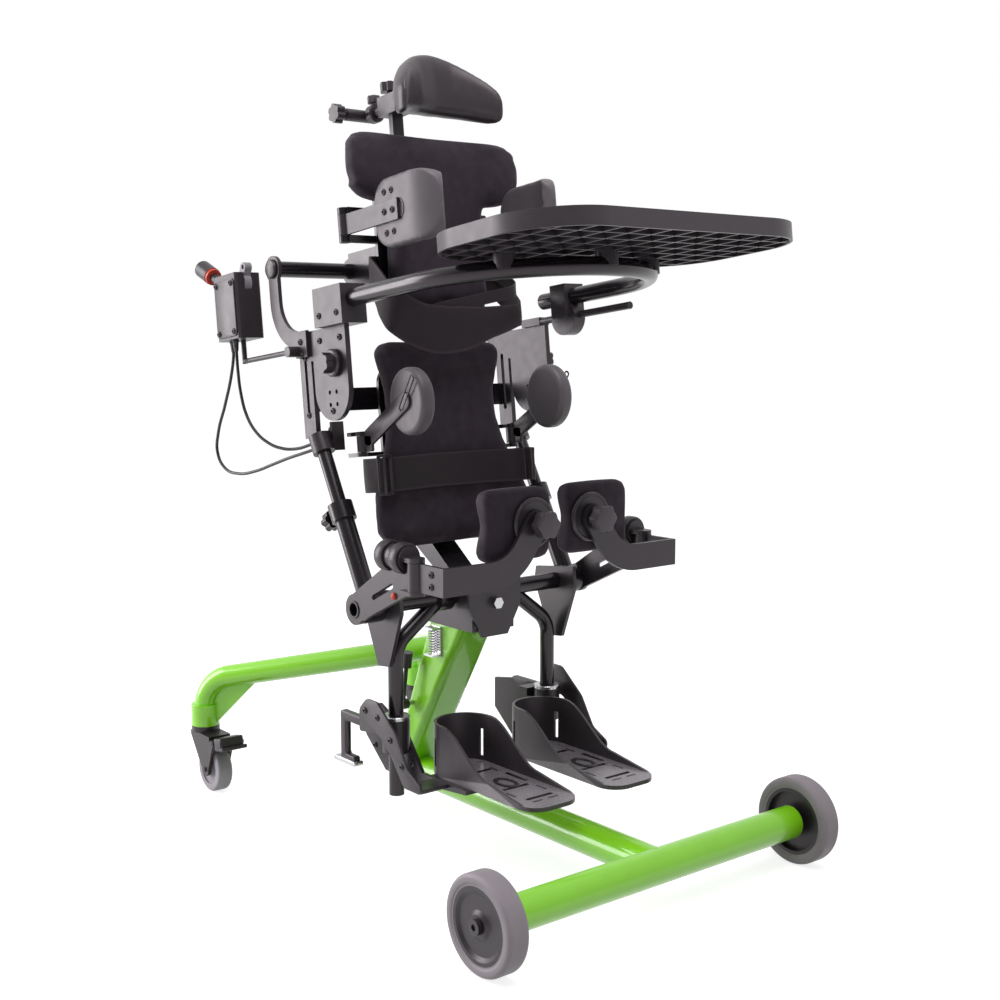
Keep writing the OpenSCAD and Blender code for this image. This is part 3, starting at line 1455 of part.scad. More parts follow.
// Feet
module foot_bracket(side) {
  pan_z = foot_z - foot_pan_t;
  pan_y = foot_heel_y - foot_pan_in;
  color(black) sided(side) difference() {
    union() {
      translate([-hanger_x, pivot_y, foot_clamp_z]) cylinder(d = foot_clamp_d, h = foot_clamp_h);
      plate_x(-foot_plate_x - foot_plate_t, foot_plate_t) polygon([
        [pivot_y + 2.6 * foot_clamp_d, foot_clamp_z], [pivot_y + 2.6 * foot_clamp_d, foot_clamp_z + foot_clamp_h],
        [pivot_y + 1.7 * foot_clamp_d, foot_clamp_z + foot_clamp_h + foot_pan_t],
        [pivot_y, foot_clamp_z + foot_clamp_h / 2], [pivot_y - foot_clamp_d, foot_z],
        [pan_y - foot_pan_l, foot_z], [pan_y - foot_pan_l, pan_z], [pivot_y - foot_clamp_d / 2, pan_z - 2 * foot_pan_t],
        [pivot_y + 1.3 * foot_clamp_d, pan_z - 2 * foot_pan_t]
      ]);
      translate([-foot_plate_x - foot_plate_t, pan_y - foot_pan_l, pan_z])
        cube([foot_plate_x + foot_plate_t - foot_x + foot_pan_w / 2, foot_pan_l, foot_pan_t]);
      translate([-lever_x + lever_boss_w + gap, lever_pin_y - lever_boss_d / 2, lever_pin_z - lever_boss_d / 2])
        cube([lever_x - lever_boss_w - gap - foot_plate_x, lever_boss_d, lever_boss_d]);
      translate([-lever_x, lever_pin_y, lever_pin_z]) rotate([0, 90, 0])
        cylinder(d = lever_d, h = lever_boss_w + 2 * gap);
    }
    translate([-hanger_x, pivot_y, 0]) cylinder(d = hanger_d + 2 * foot_fit, h = pivot_z);
  }
}
module foot_bracket_right() { foot_bracket("right"); }
module foot_bracket_left() { foot_bracket("left"); }
module sandal_outline(inset) {
  toe_r = foot_corner_r * 0.8;
  intersection() {
    translate([0, -foot_l / 2]) rounded_rect(foot_w - 2 * inset, foot_l - 2 * inset, toe_r - inset);
    translate([-foot_w, -2 * foot_l - foot_w / 2]) square([2 * foot_w, 2 * foot_l]);
  }
  translate([0, -foot_w / 2]) circle(d = foot_w - 2 * inset);
}
// The rim's fall from the heel to the instep
function rim_fall() = [
  for (i = [0 : rim_steps])
    let (s = i / rim_steps, low = heel_h * side_h_share)
    [-foot_l * (heel_share + (instep_share - heel_share) * s), heel_h - (heel_h - low) * s * s * (3 - 2 * s)]
];
module footplate(side) {
  slot_run = foot_w * 0.5;
  color(black) sided(side) translate([-foot_x, foot_heel_y, foot_z]) difference() {
    intersection() {
      difference() {
        linear_extrude(heel_h) sandal_outline(0);
        translate([0, 0, foot_floor_t]) linear_extrude(heel_h) sandal_outline(foot_wall_t);
      }
      plate_x(-foot_w, 2 * foot_w) polygon(concat(
        [[overrun, 0], [overrun, heel_h]],
        rim_fall(),
        [[-foot_l * toe_share, foot_floor_t], [-foot_l - overrun, foot_floor_t], [-foot_l - overrun, 0]]
      ));
    }
    // Slits beside the heel, and slots for the foot straps in the floor
    for (s = [-1, 1]) translate([s * foot_w / 2 - 2 * foot_wall_t, -foot_l * slit_share, foot_floor_t * 2])
      cube([4 * foot_wall_t, slot_w, heel_h * 0.55]);
    for (share = slot_shares) translate([0, -foot_l * share, -overrun]) linear_extrude(foot_floor_t + 2 * overrun)
      square([slot_run, slot_w], center = true);
    for (s = [-1, 1]) translate([s * foot_w * 0.32, -foot_l / 2, -overrun])
      linear_extrude(foot_floor_t + 2 * overrun) square([slot_w, slot_run], center = true);
  }
}
module footplate_right() { footplate("right"); }
module footplate_left() { footplate("left"); }
module foot_lever(side) {
  color(black) sided(side) translate([-lever_x, lever_pin_y, lever_pin_z]) {
    difference() {
      rotate([0, 90, 0]) cylinder(d = lever_boss_d, h = lever_boss_w);
      translate([-overrun, 0, 0]) rotate([0, 90, 0]) cylinder(d = lever_d + 2 * fit, h = lever_boss_w + 2 * overrun);
    }
    translate([lever_boss_w / 2, 0, 0]) {
      translate([0, lever_boss_d / 2 - overrun, 0]) rotate([-90, 0, 0]) cylinder(d = lever_d, h = lever_l - lever_boss_d / 2);
      translate([0, lever_l - overrun, 0]) sphere(d = lever_d);
      translate([0, lever_l - overrun, -lever_drop]) cylinder(d = lever_d, h = lever_drop);
      translate([0, lever_l - overrun, -lever_drop]) rotate([90, 0, 0]) cylinder(d = lever_d, h = lever_boss_d);
      translate([0, lever_l - overrun, -lever_drop]) sphere(d = lever_d);
    }
  }
}
module foot_lever_right() { foot_lever("right"); }
module foot_lever_left() { foot_lever("left"); }

// Head support
module head_post() {
  block_low = head_z - head_block_h / 2;
  front = head_post_y - head_block_l / 2;
  color(black) reclined() {
    translate([-head_post_w / 2, head_post_y - head_post_d / 2, head_post_low])
      cube([head_post_w, head_post_d, block_low - head_post_low]);
    translate([-head_block_w / 2, front, block_low]) cube([head_block_w, head_block_l, head_block_h]);
    for (x = [-head_lug_w / 2 - gap - head_ear_t, head_lug_w / 2 + gap]) plate_x(x, head_ear_t) {
      translate([head_hinge_y, head_z]) circle(d = head_ear_d);
      translate([head_hinge_y, head_z - head_ear_d / 2]) square([front - head_hinge_y, head_ear_d]);
    }
    translate([0, head_hinge_y, head_z]) along_x(head_pin_d, head_lug_w + 2 * gap + 2 * head_ear_t);
    // Rod to the rear with a cross piece and two knobs
    translate([0, head_post_y + head_block_l / 2, head_z]) rotate([-90, 0, 0])
      cylinder(d = head_link_d, h = head_rod_l);
    translate([-head_cross_l / 4, head_post_y + head_block_l / 2 + head_rod_l, head_z])
      along_x(head_link_d * 1.2, head_cross_l);
    translate([-head_cross_l * 0.75, head_post_y + head_block_l / 2 + head_rod_l, head_z]) rotate([0, -90, 0])
      star_knob(knob_reach);
    translate([0, head_post_y + head_block_l / 4, head_z + head_block_h / 2]) star_knob(knob_reach);
  }
}
module head_pad() {
  color(fabric) reclined() difference() {
    union() {
      polyhedron([for (s = head_shares) each head_ring_points(s)], run_faces(len(head_shares), pad_ring));
      plate_x(-head_lug_w / 2, head_lug_w) {
        translate([head_hinge_y, head_z]) circle(d = head_ear_d);
        translate([head_front + head_t / 2, head_z - head_ear_d / 2])
          square([head_hinge_y - head_front - head_t / 2, head_ear_d]);
      }
    }
    translate([0, head_hinge_y, head_z]) along_x(head_pin_d + 2 * fit, head_w);
  }
}

front_tube();
spine_tube();
mast();
rear_leg_right();
rear_leg_left();
front_axles();
mast_head();
lock_spring();
tyre_right();
tyre_left();
hub_right();
hub_left();
fork_right();
fork_left();
caster_wheel_right();
caster_wheel_left();
brake_right();
brake_left();
lock_lever();
cross_bar();
cane_brackets();
cane_tubes();
seat_post();
seat_pad();
lap_belt();
hangers();
knee_brackets();
cane_rods();
side_frame_right();
side_frame_left();
hip_bar();
back_tube();
back_board();
back_pad();
chest_strap();
tray_clamps();
control_box();
control_knob();
control_lever();
cables();
tray_rail();
tray_top();
chest_arm_right();
chest_arm_left();
chest_pad_right();
chest_pad_left();
hip_right();
hip_left();
knee_arm_right();
knee_arm_left();
knee_pad_right();
knee_pad_left();
foot_bracket_right();
foot_bracket_left();
footplate_right();
footplate_left();
foot_lever_right();
foot_lever_left();
head_post();
head_pad();
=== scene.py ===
# %% [markdown]
# # A standing frame, dressed for its picture
# The frame holds a child upright: a green base on wheels, a black body support that tilts, cushions, straps and a
# tray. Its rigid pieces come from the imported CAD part. This lesson adds what a solid modeller leaves plain:
# cushions, straps, cables, small fittings and finishes. Lengths are written in millimetres, as on the drawing.

import json
import math

import bmesh
import bpy
from mathutils import Matrix, Vector
from mathutils.geometry import interpolate_bezier

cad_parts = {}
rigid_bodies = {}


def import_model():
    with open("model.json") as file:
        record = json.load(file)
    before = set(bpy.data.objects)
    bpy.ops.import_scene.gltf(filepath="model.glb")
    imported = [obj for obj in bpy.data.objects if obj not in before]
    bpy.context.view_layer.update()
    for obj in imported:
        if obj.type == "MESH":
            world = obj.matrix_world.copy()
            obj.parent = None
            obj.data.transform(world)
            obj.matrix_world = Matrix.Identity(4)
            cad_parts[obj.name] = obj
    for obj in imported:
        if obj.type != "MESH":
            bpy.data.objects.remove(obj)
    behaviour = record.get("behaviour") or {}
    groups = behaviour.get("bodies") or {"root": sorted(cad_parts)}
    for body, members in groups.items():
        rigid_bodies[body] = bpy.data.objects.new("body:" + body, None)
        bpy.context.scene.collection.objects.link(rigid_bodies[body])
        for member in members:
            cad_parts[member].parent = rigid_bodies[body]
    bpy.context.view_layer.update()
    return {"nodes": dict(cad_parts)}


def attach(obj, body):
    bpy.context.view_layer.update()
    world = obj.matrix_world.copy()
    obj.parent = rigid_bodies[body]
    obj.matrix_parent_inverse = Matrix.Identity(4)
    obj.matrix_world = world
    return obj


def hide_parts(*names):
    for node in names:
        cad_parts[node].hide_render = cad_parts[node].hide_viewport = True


for leftover in list(bpy.data.objects):
    bpy.data.objects.remove(leftover)
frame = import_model()
scene = bpy.context.scene

# %% [markdown]
# ## Camera
# A camera can be set up by eye, or from measured points. Here the wheels, the cross tube and the tray gave the
# distance and the angles, so the render can be laid over the photograph.

# %% Camera
LENS_MM, SENSOR_MM = 50.4, 36
EYE = Vector((-1.2658, -1.6469, 0.7593))
TURN, DIP = math.radians(38.82), math.radians(6.91)
camera_data = bpy.data.cameras.new("photo_camera")
camera_data.sensor_width = SENSOR_MM
camera_data.lens = LENS_MM
camera = bpy.data.objects.new("photo_camera", camera_data)
scene.collection.objects.link(camera)
camera.location = EYE
look = Vector((math.sin(TURN) * math.cos(DIP), math.cos(TURN) * math.cos(DIP), -math.sin(DIP)))
camera.rotation_euler = look.to_track_quat("-Z", "Y").to_euler()
scene.camera = camera
print("camera", round(EYE.length, 2), "m from the origin")

# %% [markdown]
# ## Two frames
# The base stands level, but the body support leans back about the cross bar. A matrix turns a point of the
# support's own drawing, in millimetres, into the part's frame in metres, so each piece is written upright.

# %% Support frame
CROSS_BAR, LEAN = (0, -0.0125, 0.370), math.radians(-6.5)
MM = Matrix.Scale(0.001, 4)
SUPPORT = Matrix.Translation(CROSS_BAR) @ Matrix.Rotation(LEAN, 4, "X") @ MM
TO_SUPPORT = SUPPORT.inverted()
print("tilt axis at", [round(x, 3) for x in SUPPORT.translation])

# %% [markdown]
# ## Cables
# Two sheathed control cables leave the underside of the control box, hang in a loop and go in to the stop on the
# side frame. A bevelled curve follows the route, which is the same one as the CAD solid's. Its knots carry the
# sheath's radius, with a bevel of 1, because a curve's box is taken from the radius of its knots.

# %% Cables
CABLE_D = 5
CABLE_ROUTES = {
    "cable_tilt": [
        (-210, 300, 408), (-210, 300, 394), (-211, 310, 360), (-213, 336, 312), (-215, 362, 270),
        (-215, 370, 238), (-212, 354, 212), (-206, 322, 202), (-197, 282, 204), (-188, 245, 212),
        (-180, 208, 220), (-173, 172, 226), (-167, 138, 232), (-164, 112, 238), (-163, 99, 240), (-163, 92, 240),
    ],
    "cable_height": [
        (-218, 276, 408), (-218, 276, 394), (-218, 276, 360), (-217, 274, 325), (-214, 266, 290),
        (-209, 250, 264), (-202, 228, 246), (-194, 204, 236), (-185, 180, 233), (-177, 156, 236),
        (-170, 134, 243), (-166, 114, 252), (-164, 103, 257), (-163, 97, 258), (-163, 92, 258),
    ],
}


def sheathed_cable(name, route):
    curve = bpy.data.curves.new(name, "CURVE")
    curve.dimensions = "3D"
    curve.bevel_depth = 1
    curve.bevel_resolution = 4
    curve.use_fill_caps = True
    spline = curve.splines.new("BEZIER")
    spline.resolution_u = 8
    spline.bezier_points.add(len(route) - 1)
    for knot, point in zip(spline.bezier_points, route):
        knot.co = SUPPORT @ Vector(point)
        knot.radius = CABLE_D / 2000
        knot.handle_left_type = knot.handle_right_type = "AUTO"
    cable = bpy.data.objects.new(name, curve)
    scene.collection.objects.link(cable)
    bpy.context.view_layer.update()
    return cable, spline.calc_length()


cables = []
for cable_name, cable_route in CABLE_ROUTES.items():
    cable, cable_length = sheathed_cable(cable_name, cable_route)
    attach(cable, "back")
    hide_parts("cables")
    cables.append(cable)
    print(cable_name, round(1000 * cable_length), "mm long")

# %% [markdown]
# ## Light
# A studio picture on white: a large soft box stands left of the frame and behind it, where faces turned to the
# left mirror it, so they shine while faces turned to the front stay dark. The world is white where the camera sees
# it, darker in reflections towards the camera's side of the room, and a plain grey light elsewhere.


# %% Node helpers
def math_node(tree, operation, first, second=None):
    node = tree.nodes.new("ShaderNodeMath")
    node.operation = operation
    for socket, value in zip(node.inputs, (first, second)):
        if isinstance(value, bpy.types.NodeSocket):
            tree.links.new(value, socket)
        elif value is not None:
            socket.default_value = value
    return node.outputs[0]


def map_range(tree, value, low, high, start=0.0, end=1.0):
    node = tree.nodes.new("ShaderNodeMapRange")
    for name, number in (("From Min", start), ("From Max", end), ("To Min", low), ("To Max", high)):
        node.inputs[name].default_value = number
    tree.links.new(value, node.inputs["Value"])
    return node.outputs["Result"]


# %% World
PLAIN_LIGHT, DARK_SIDE, DARK_FROM = 0.62, 0.3, 0.8
CAMERA_SIDE = (-0.63, -0.77, 0.05)
scene.view_settings.view_transform = "Standard"
world = bpy.data.worlds.new("studio")
scene.world = world
world.use_nodes = True
sky = world.node_tree
background = sky.nodes["Background"]
background.inputs["Color"].default_value = (1, 1, 1, 1)
ray = sky.nodes.new("ShaderNodeLightPath")
straight = math_node(sky, "MAXIMUM", ray.outputs["Is Camera Ray"], ray.outputs["Is Transmission Ray"])
seen = math_node(sky, "MAXIMUM", straight, ray.outputs["Is Glossy Ray"])
level = map_range(sky, seen, PLAIN_LIGHT, 1.0)
room = sky.nodes.new("ShaderNodeTexCoord")
toward = sky.nodes.new("ShaderNodeVectorMath")
toward.operation = "DOT_PRODUCT"
toward.inputs[1].default_value = CAMERA_SIDE
sky.links.new(room.outputs["Generated"], toward.inputs[0])
shade = map_range(sky, toward.outputs["Value"], 1.0, DARK_SIDE, 0.0, DARK_FROM)
lit = math_node(sky, "MAXIMUM", shade, ray.outputs["Is Camera Ray"])
sky.links.new(math_node(sky, "MULTIPLY", level, lit), background.inputs["Strength"])
print("world with", len(sky.nodes), "nodes")


# %% Soft boxes
def soft_box(name, place, aim, width, height, power):
    lamp = bpy.data.lights.new(name, "AREA")
    lamp.shape = "RECTANGLE"
    lamp.size, lamp.size_y = width, height
    lamp.energy = power
    box = bpy.data.objects.new(name, lamp)
    scene.collection.objects.link(box)
    box.location = place
    box.rotation_euler = (Vector(aim) - Vector(place)).to_track_quat("-Z", "Y").to_euler()
    print(name, "at", place, power, "W")


soft_box("left_box", (-2.1, 2.3, 1.2), (0, 0, 0.6), 1.5, 2.4, 80)
soft_box("top_box", (-0.5, -0.9, 3.0), (0, 0, 0.5), 2.0, 2.0, 55)

# %% [markdown]
# ## Floor
# The floor of a white studio has no edge. A very large disc does that. It glows a little, only where the camera or
# a reflection looks at it, so it is as white as the wall but still takes a soft shadow.

# %% Floor
FLOOR_RADIUS_M, FLOOR_BELOW_M, FLOOR_GLOW = 40, 0.0005, 0.80
bm = bmesh.new()
bmesh.ops.create_circle(bm, cap_ends=True, segments=64, radius=FLOOR_RADIUS_M)
bmesh.ops.translate(bm, verts=bm.verts, vec=(0, 0, -FLOOR_BELOW_M))
floor_mesh = bpy.data.meshes.new("floor")
bm.to_mesh(floor_mesh)
bm.free()
floor = bpy.data.objects.new("floor", floor_mesh)
scene.collection.objects.link(floor)
floor_white = bpy.data.materials.new("floor_white")
floor_white.use_nodes = True
floor_mesh.materials.append(floor_white)
tree = floor_white.node_tree
matt = tree.nodes["Principled BSDF"]
matt.inputs["Base Color"].default_value = (0.5, 0.5, 0.5, 1)
matt.inputs["Roughness"].default_value = 0.9
matt.inputs["Specular IOR Level"].default_value = 0.0
matt.inputs["Emission Color"].default_value = (1, 1, 1, 1)
ray = tree.nodes.new("ShaderNodeLightPath")
looked_at = math_node(tree, "MAXIMUM", ray.outputs["Is Camera Ray"], ray.outputs["Is Glossy Ray"])
tree.links.new(math_node(tree, "MULTIPLY", looked_at, FLOOR_GLOW), matt.inputs["Emission Strength"])
print("floor radius", FLOOR_RADIUS_M, "m")

# %% [markdown]
# ## Finishes
# Every finish starts from one shader with its plain colour. Then it gets what the real surface shows: a little
# uneven colour, uneven gloss, and a fine relief. All patterns are procedural and sit in object coordinates, so they
# stay on the piece when it moves.


# %% Finish helpers
def shader_of(finish):
    return finish.node_tree.nodes["Principled BSDF"]


def new_finish(name, colour, roughness, metallic=0.0):
    finish = bpy.data.materials.new(name)
    finish.use_nodes = True
    shader = shader_of(finish)
    shader.inputs["Base Color"].default_value = (*colour, 1)
    shader.inputs["Roughness"].default_value = roughness
    shader.inputs["Metallic"].default_value = metallic
    finish.diffuse_color = (*colour, 1)
    return finish


def object_noise(finish, per_metre, detail):
    tree = finish.node_tree
    place = tree.nodes.new("ShaderNodeTexCoord")
    noise = tree.nodes.new("ShaderNodeTexNoise")
    noise.inputs["Scale"].default_value = per_metre
    noise.inputs["Detail"].default_value = detail
    tree.links.new(place.outputs["Object"], noise.inputs["Vector"])
    return noise.outputs["Fac"]


def spread(finish, value, low, high, start=0.3, end=0.7):
    return map_range(finish.node_tree, value, low, high, start, end)


def mottle(finish, colour, other, fac):
    tree = finish.node_tree
    mix = tree.nodes.new("ShaderNodeMix")
    mix.data_type = "RGBA"
    colour_sockets = [s for s in mix.inputs if s.type == "RGBA"]
    colour_sockets[0].default_value = (*colour, 1)
    colour_sockets[1].default_value = (*other, 1)
    tree.links.new(fac, mix.inputs["Factor"])
    mixed = next(s for s in mix.outputs if s.type == "RGBA")
    tree.links.new(mixed, shader_of(finish).inputs["Base Color"])


def relief(finish, height, depth_mm, rounded_mm=0.0):
    tree = finish.node_tree
    bump = tree.nodes.new("ShaderNodeBump")
    bump.inputs["Distance"].default_value = depth_mm / 1000
    bump.inputs["Strength"].default_value = 1.0
    tree.links.new(height, bump.inputs["Height"])
    if rounded_mm:
        edge = tree.nodes.new("ShaderNodeBevel")
        edge.samples = 4
        edge.inputs["Radius"].default_value = rounded_mm / 1000
        tree.links.new(edge.outputs["Normal"], bump.inputs["Normal"])
    tree.links.new(bump.outputs["Normal"], shader_of(finish).inputs["Normal"])


def gloss(finish, value, low, high):
    finish.node_tree.links.new(spread(finish, value, low, high), shader_of(finish).inputs["Roughness"])


# %% [markdown]
# Paint, bare metal, rubber and moulded plastic differ in few numbers: colour, gloss, and how fine and how deep their
# grain is. One function makes them all. A dark finish mirrors with a faint warm tint, as the black pieces do.

# %% Painted and moulded finishes
MOTTLES_PER_M, GLOSS_PER_M = 22, 60
DARK, DARK_TINT = 0.3, (1, 0.90, 0.97, 1)


def painted(name, colour, roughness, per_metre, depth_mm, rounded_mm=0.6, shift=0.05, metallic=0.0, coat=0.0):
    finish = new_finish(name, colour, roughness, metallic)
    lighter = tuple(min(1, c * (1 + shift)) for c in colour)
    darker = tuple(c * (1 - shift) for c in colour)
    mottle(finish, darker, lighter, spread(finish, object_noise(finish, MOTTLES_PER_M, 4), 0, 1))
    gloss(finish, object_noise(finish, GLOSS_PER_M, 4), roughness * 0.92, roughness * 1.12)
    relief(finish, object_noise(finish, per_metre, 3), depth_mm, rounded_mm)
    shader = shader_of(finish)
    shader.inputs["Coat Weight"].default_value = coat
    shader.inputs["Coat Roughness"].default_value = 0.05
    if max(colour) < DARK:
        shader.inputs["Specular Tint"].default_value = DARK_TINT
    return finish


green_paint = painted("green_paint", (0.25, 0.69, 0.010), 0.32, 1500, 0.004, rounded_mm=0.5, shift=0.03, coat=0.6)
black_paint = painted("black_paint", (0.011, 0.009, 0.011), 0.22, 1500, 0.004)
black_alloy = painted("black_alloy", (0.030, 0.025, 0.030), 0.36, 2600, 0.010)
hub_black = painted("hub_black", (0.018, 0.015, 0.018), 0.38, 1800, 0.02)
tyre_grey = painted("tyre_grey", (0.265, 0.237, 0.260), 0.55, 900, 0.03, rounded_mm=1.0)
caster_grey = painted("caster_grey", (0.33, 0.305, 0.335), 0.50, 900, 0.03, rounded_mm=1.0)
moulded_pad = painted("moulded_pad", (0.040, 0.033, 0.039), 0.36, 2200, 0.03)
grey_pad = painted("grey_pad", (0.115, 0.103, 0.113), 0.46, 2200, 0.03, rounded_mm=1.0)
grey_plastic = painted("grey_plastic", (0.25, 0.235, 0.26), 0.40, 900, 0.02)
knob_grey = painted("knob_grey", (0.060, 0.052, 0.060), 0.42, 1500, 0.03)
tray_black = painted("tray_black", (0.045, 0.038, 0.044), 0.38, 2200, 0.03, rounded_mm=0.8)
cable_black = painted("cable_black", (0.012, 0.011, 0.012), 0.35, 2500, 0.004, rounded_mm=0.0)
steel = painted("steel", (0.52, 0.51, 0.53), 0.24, 1200, 0.01, rounded_mm=0.3, metallic=1.0)
signal_red = painted("signal_red", (0.55, 0.045, 0.02), 0.40, 900, 0.03)
# The sandal floor is painted paler than the moulding around it: a painted reflection of the light its top catches at
# a grazing angle.
sandal_floor_reflection = painted("sandal_floor_reflection", (0.21, 0.19, 0.21), 0.27, 2200, 0.03)
print("black alloy with", len(black_alloy.node_tree.nodes), "nodes")

# %% [markdown]
# The cushions' knitted cover is rough, and its fibres catch light that grazes them. The shader's sheen does that, so
# no hair is needed.


# %% Knitted cover
def knitted(name, colour, per_metre, depth_mm):
    finish = painted(name, colour, 0.80, per_metre, depth_mm, rounded_mm=0.0, shift=0.06)
    shader = shader_of(finish)
    shader.inputs["Sheen Weight"].default_value = 0.22
    shader.inputs["Sheen Roughness"].default_value = 0.35
    shader.inputs["Sheen Tint"].default_value = (0.55, 0.45, 0.58, 1)
    return finish


cushion_knit = knitted("cushion_knit", (0.017, 0.011, 0.018), 1600, 0.12)
print("knitted cover:", cushion_knit.name)

# %% [markdown]
# Webbing is woven in rows across the strap. Its edges are painted paler: a painted highlight where the edge catches
# the light. Two sine waves on the strap's own map, one along and one across, give the rows wherever the strap bends.


# %% Woven webbing
def woven(name, colour, picks_per_metre, ends):
    finish = new_finish(name, colour, 0.55)
    tree = finish.node_tree
    lay = tree.nodes.new("ShaderNodeUVMap")
    lay.uv_map = "weave"
    split = tree.nodes.new("ShaderNodeSeparateXYZ")
    tree.links.new(lay.outputs["UV"], split.inputs["Vector"])
    along, across = [
        math_node(tree, "SINE", math_node(tree, "MULTIPLY", split.outputs[axis], 2 * math.pi * count))
        for axis, count in (("X", picks_per_metre), ("Y", ends))
    ]
    from_middle = math_node(tree, "ABSOLUTE", split.outputs["Y"])
    # The strap's edges are painted paler: a painted highlight where the edge catches the light.
    edge_highlight = tuple(2.4 * c for c in colour)
    mottle(finish, colour, edge_highlight, spread(finish, from_middle, 0, 1, 0.42, 0.48))
    relief(finish, spread(finish, math_node(tree, "MULTIPLY", along, across), 0, 1, -1, 1), 0.25)
    shader = shader_of(finish)
    shader.inputs["Specular IOR Level"].default_value = 0.25
    shader.inputs["Specular Tint"].default_value = DARK_TINT
    return finish


webbing_black = woven("webbing_black", (0.014, 0.010, 0.013), picks_per_metre=420, ends=16)
print("webbing:", webbing_black.name)

# %% [markdown]
# The CAD pieces keep their meshes and only get a finish. One list says which piece has which.

# %% Finishes on the CAD pieces
NODE_FINISH = {
    green_paint: "front_tube spine_tube mast rear_leg_right rear_leg_left",
    black_paint: "cross_bar cane_tubes cane_rods hangers tray_rail back_tube seat_post back_board hip_bar",
    black_alloy: "front_axles mast_head cane_brackets knee_brackets side_frame_right side_frame_left "
    "tray_clamps control_box chest_arm_right chest_arm_left hip_right hip_left knee_arm_right knee_arm_left "
    "foot_bracket_right foot_bracket_left foot_lever_right foot_lever_left head_post lock_lever",
    hub_black: "hub_right hub_left fork_right fork_left brake_right brake_left control_knob",
    tyre_grey: "tyre_right tyre_left",
    caster_grey: "caster_wheel_right caster_wheel_left",
    cushion_knit: "seat_pad back_pad knee_pad_right knee_pad_left",
    webbing_black: "lap_belt chest_strap",
    moulded_pad: "head_pad",
    grey_pad: "chest_pad_right chest_pad_left",
    grey_plastic: "control_lever",
    tray_black: "tray_top footplate_right footplate_left",
    cable_black: "cables",
    steel: "lock_spring",
}
dressed = 0
for finish, names in NODE_FINISH.items():
    for name in names.split():
        mesh = frame["nodes"][name].data
        mesh.materials.clear()
        mesh.materials.append(finish)
        dressed += 1
for cable in cables:
    cable.data.materials.append(cable_black)
print(dressed, "of", len(frame["nodes"]), "CAD pieces have a finish")

# %% [markdown]
# ## Making a piece
# A new piece is shaped in a bmesh, in millimetres, and then moved to its place: its object stays at the origin, as a
# CAD piece's does. Smooth shading with a sharp-edge angle keeps flat faces flat and round faces round.


# %% Piece helper
def add_piece(name, bm, finish, body, place=MM, sharp=35):
    bmesh.ops.transform(bm, matrix=place, verts=bm.verts)
    bmesh.ops.recalc_face_normals(bm, faces=bm.faces)
    mesh = bpy.data.meshes.new(name)
    bm.to_mesh(mesh)
    bm.free()
    mesh.materials.append(finish)
    mesh.shade_smooth()
    mesh.set_sharp_from_angle(angle=math.radians(sharp))
    piece = bpy.data.objects.new(name, mesh)
    scene.collection.objects.link(piece)
    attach(piece, body)
    return piece


# %% [markdown]
# Most small fittings are turned, cut from plate, or moulded with lobes. Each kind has one maker: a half outline that
# is spun about Z, a flat outline that is extruded and bevelled, and a circle that is pressed in between its lobes.


# %% Makers
def turned(profile, steps=32):
    bm = bmesh.new()
    verts = [bm.verts.new((r, 0, z)) for r, z in profile]
    edges = [bm.edges.new(pair) for pair in zip(verts, verts[1:])]
    if profile[0][0] > 0:
        edges.append(bm.edges.new((verts[-1], verts[0])))
    bmesh.ops.spin(
        bm, geom=verts + edges, cent=(0, 0, 0), axis=(0, 0, 1), dvec=(0, 0, 0), angle=2 * math.pi,
        steps=steps, use_merge=True, use_normal_flip=False, use_duplicate=False,
    )
    bmesh.ops.remove_doubles(bm, verts=bm.verts, dist=0.001)
    return bm


def lift(bm, height):
    made = bmesh.ops.extrude_face_region(bm, geom=bm.faces[:])["geom"]
    bmesh.ops.translate(bm, verts=[g for g in made if isinstance(g, bmesh.types.BMVert)], vec=(0, 0, height))
    bmesh.ops.recalc_face_normals(bm, faces=bm.faces)


RIM_ANGLE = 0.9


def soften(bm, edge_mm, segments=2):
    rims = [edge for edge in bm.edges if edge.is_manifold and edge.calc_face_angle() > RIM_ANGLE]
    bmesh.ops.bevel(
        bm, geom=rims, offset=edge_mm, offset_type="OFFSET", segments=segments, profile=0.5, affect="EDGES",
        material=-1,
    )


def rect(left, right, low, high):
    return [(left, low), (right, low), (right, high), (left, high)]


def slab(outline, thick, round_mm=0.0, edge_mm=0.8, rim_mm=0.0):
    bm = bmesh.new()
    bm.faces.new([bm.verts.new((x, y, 0)) for x, y in outline])
    if round_mm:
        bmesh.ops.bevel(
            bm, geom=bm.verts[:], offset=round_mm, offset_type="OFFSET", segments=5, profile=0.5,
            affect="VERTICES", material=-1,
        )
    if rim_mm:
        middle = bm.faces[:]
        bmesh.ops.inset_region(bm, faces=middle, thickness=rim_mm, use_even_offset=True, use_boundary=True)
        bmesh.ops.delete(bm, geom=middle, context="FACES")
    lift(bm, thick)
    if edge_mm:
        soften(bm, edge_mm)
    return bm


LOBE_DEPTH = 0.09


def lobed(radius, height, lobes=6):
    bm = bmesh.new()
    bmesh.ops.create_circle(bm, cap_ends=True, segments=4 * lobes, radius=radius)
    for vert in bm.verts:
        turn = math.atan2(vert.co.y, vert.co.x) * lobes
        vert.co *= 1 - LOBE_DEPTH + LOBE_DEPTH * math.cos(turn)
    lift(bm, height)
    soften(bm, 1.6, segments=3)
    return bm


trial = slab(rect(0, 40, 0, 20), 5, round_mm=4, rim_mm=5)
print("trial plate:", sum(not edge.is_manifold for edge in trial.edges), "open edges")
trial.free()

# %% [markdown]
# A fitting is made at the origin, facing up. One matrix puts it on a spot and turns it to face outwards; another also
# says which way its length runs. Copies of one fitting on one body make one piece.

# %% Places
SIDES = (("right", -1), ("left", 1))


def at(place, facing):
    return Matrix.Translation(place) @ Vector(facing).to_track_quat("Z", "Y").to_matrix().to_4x4()


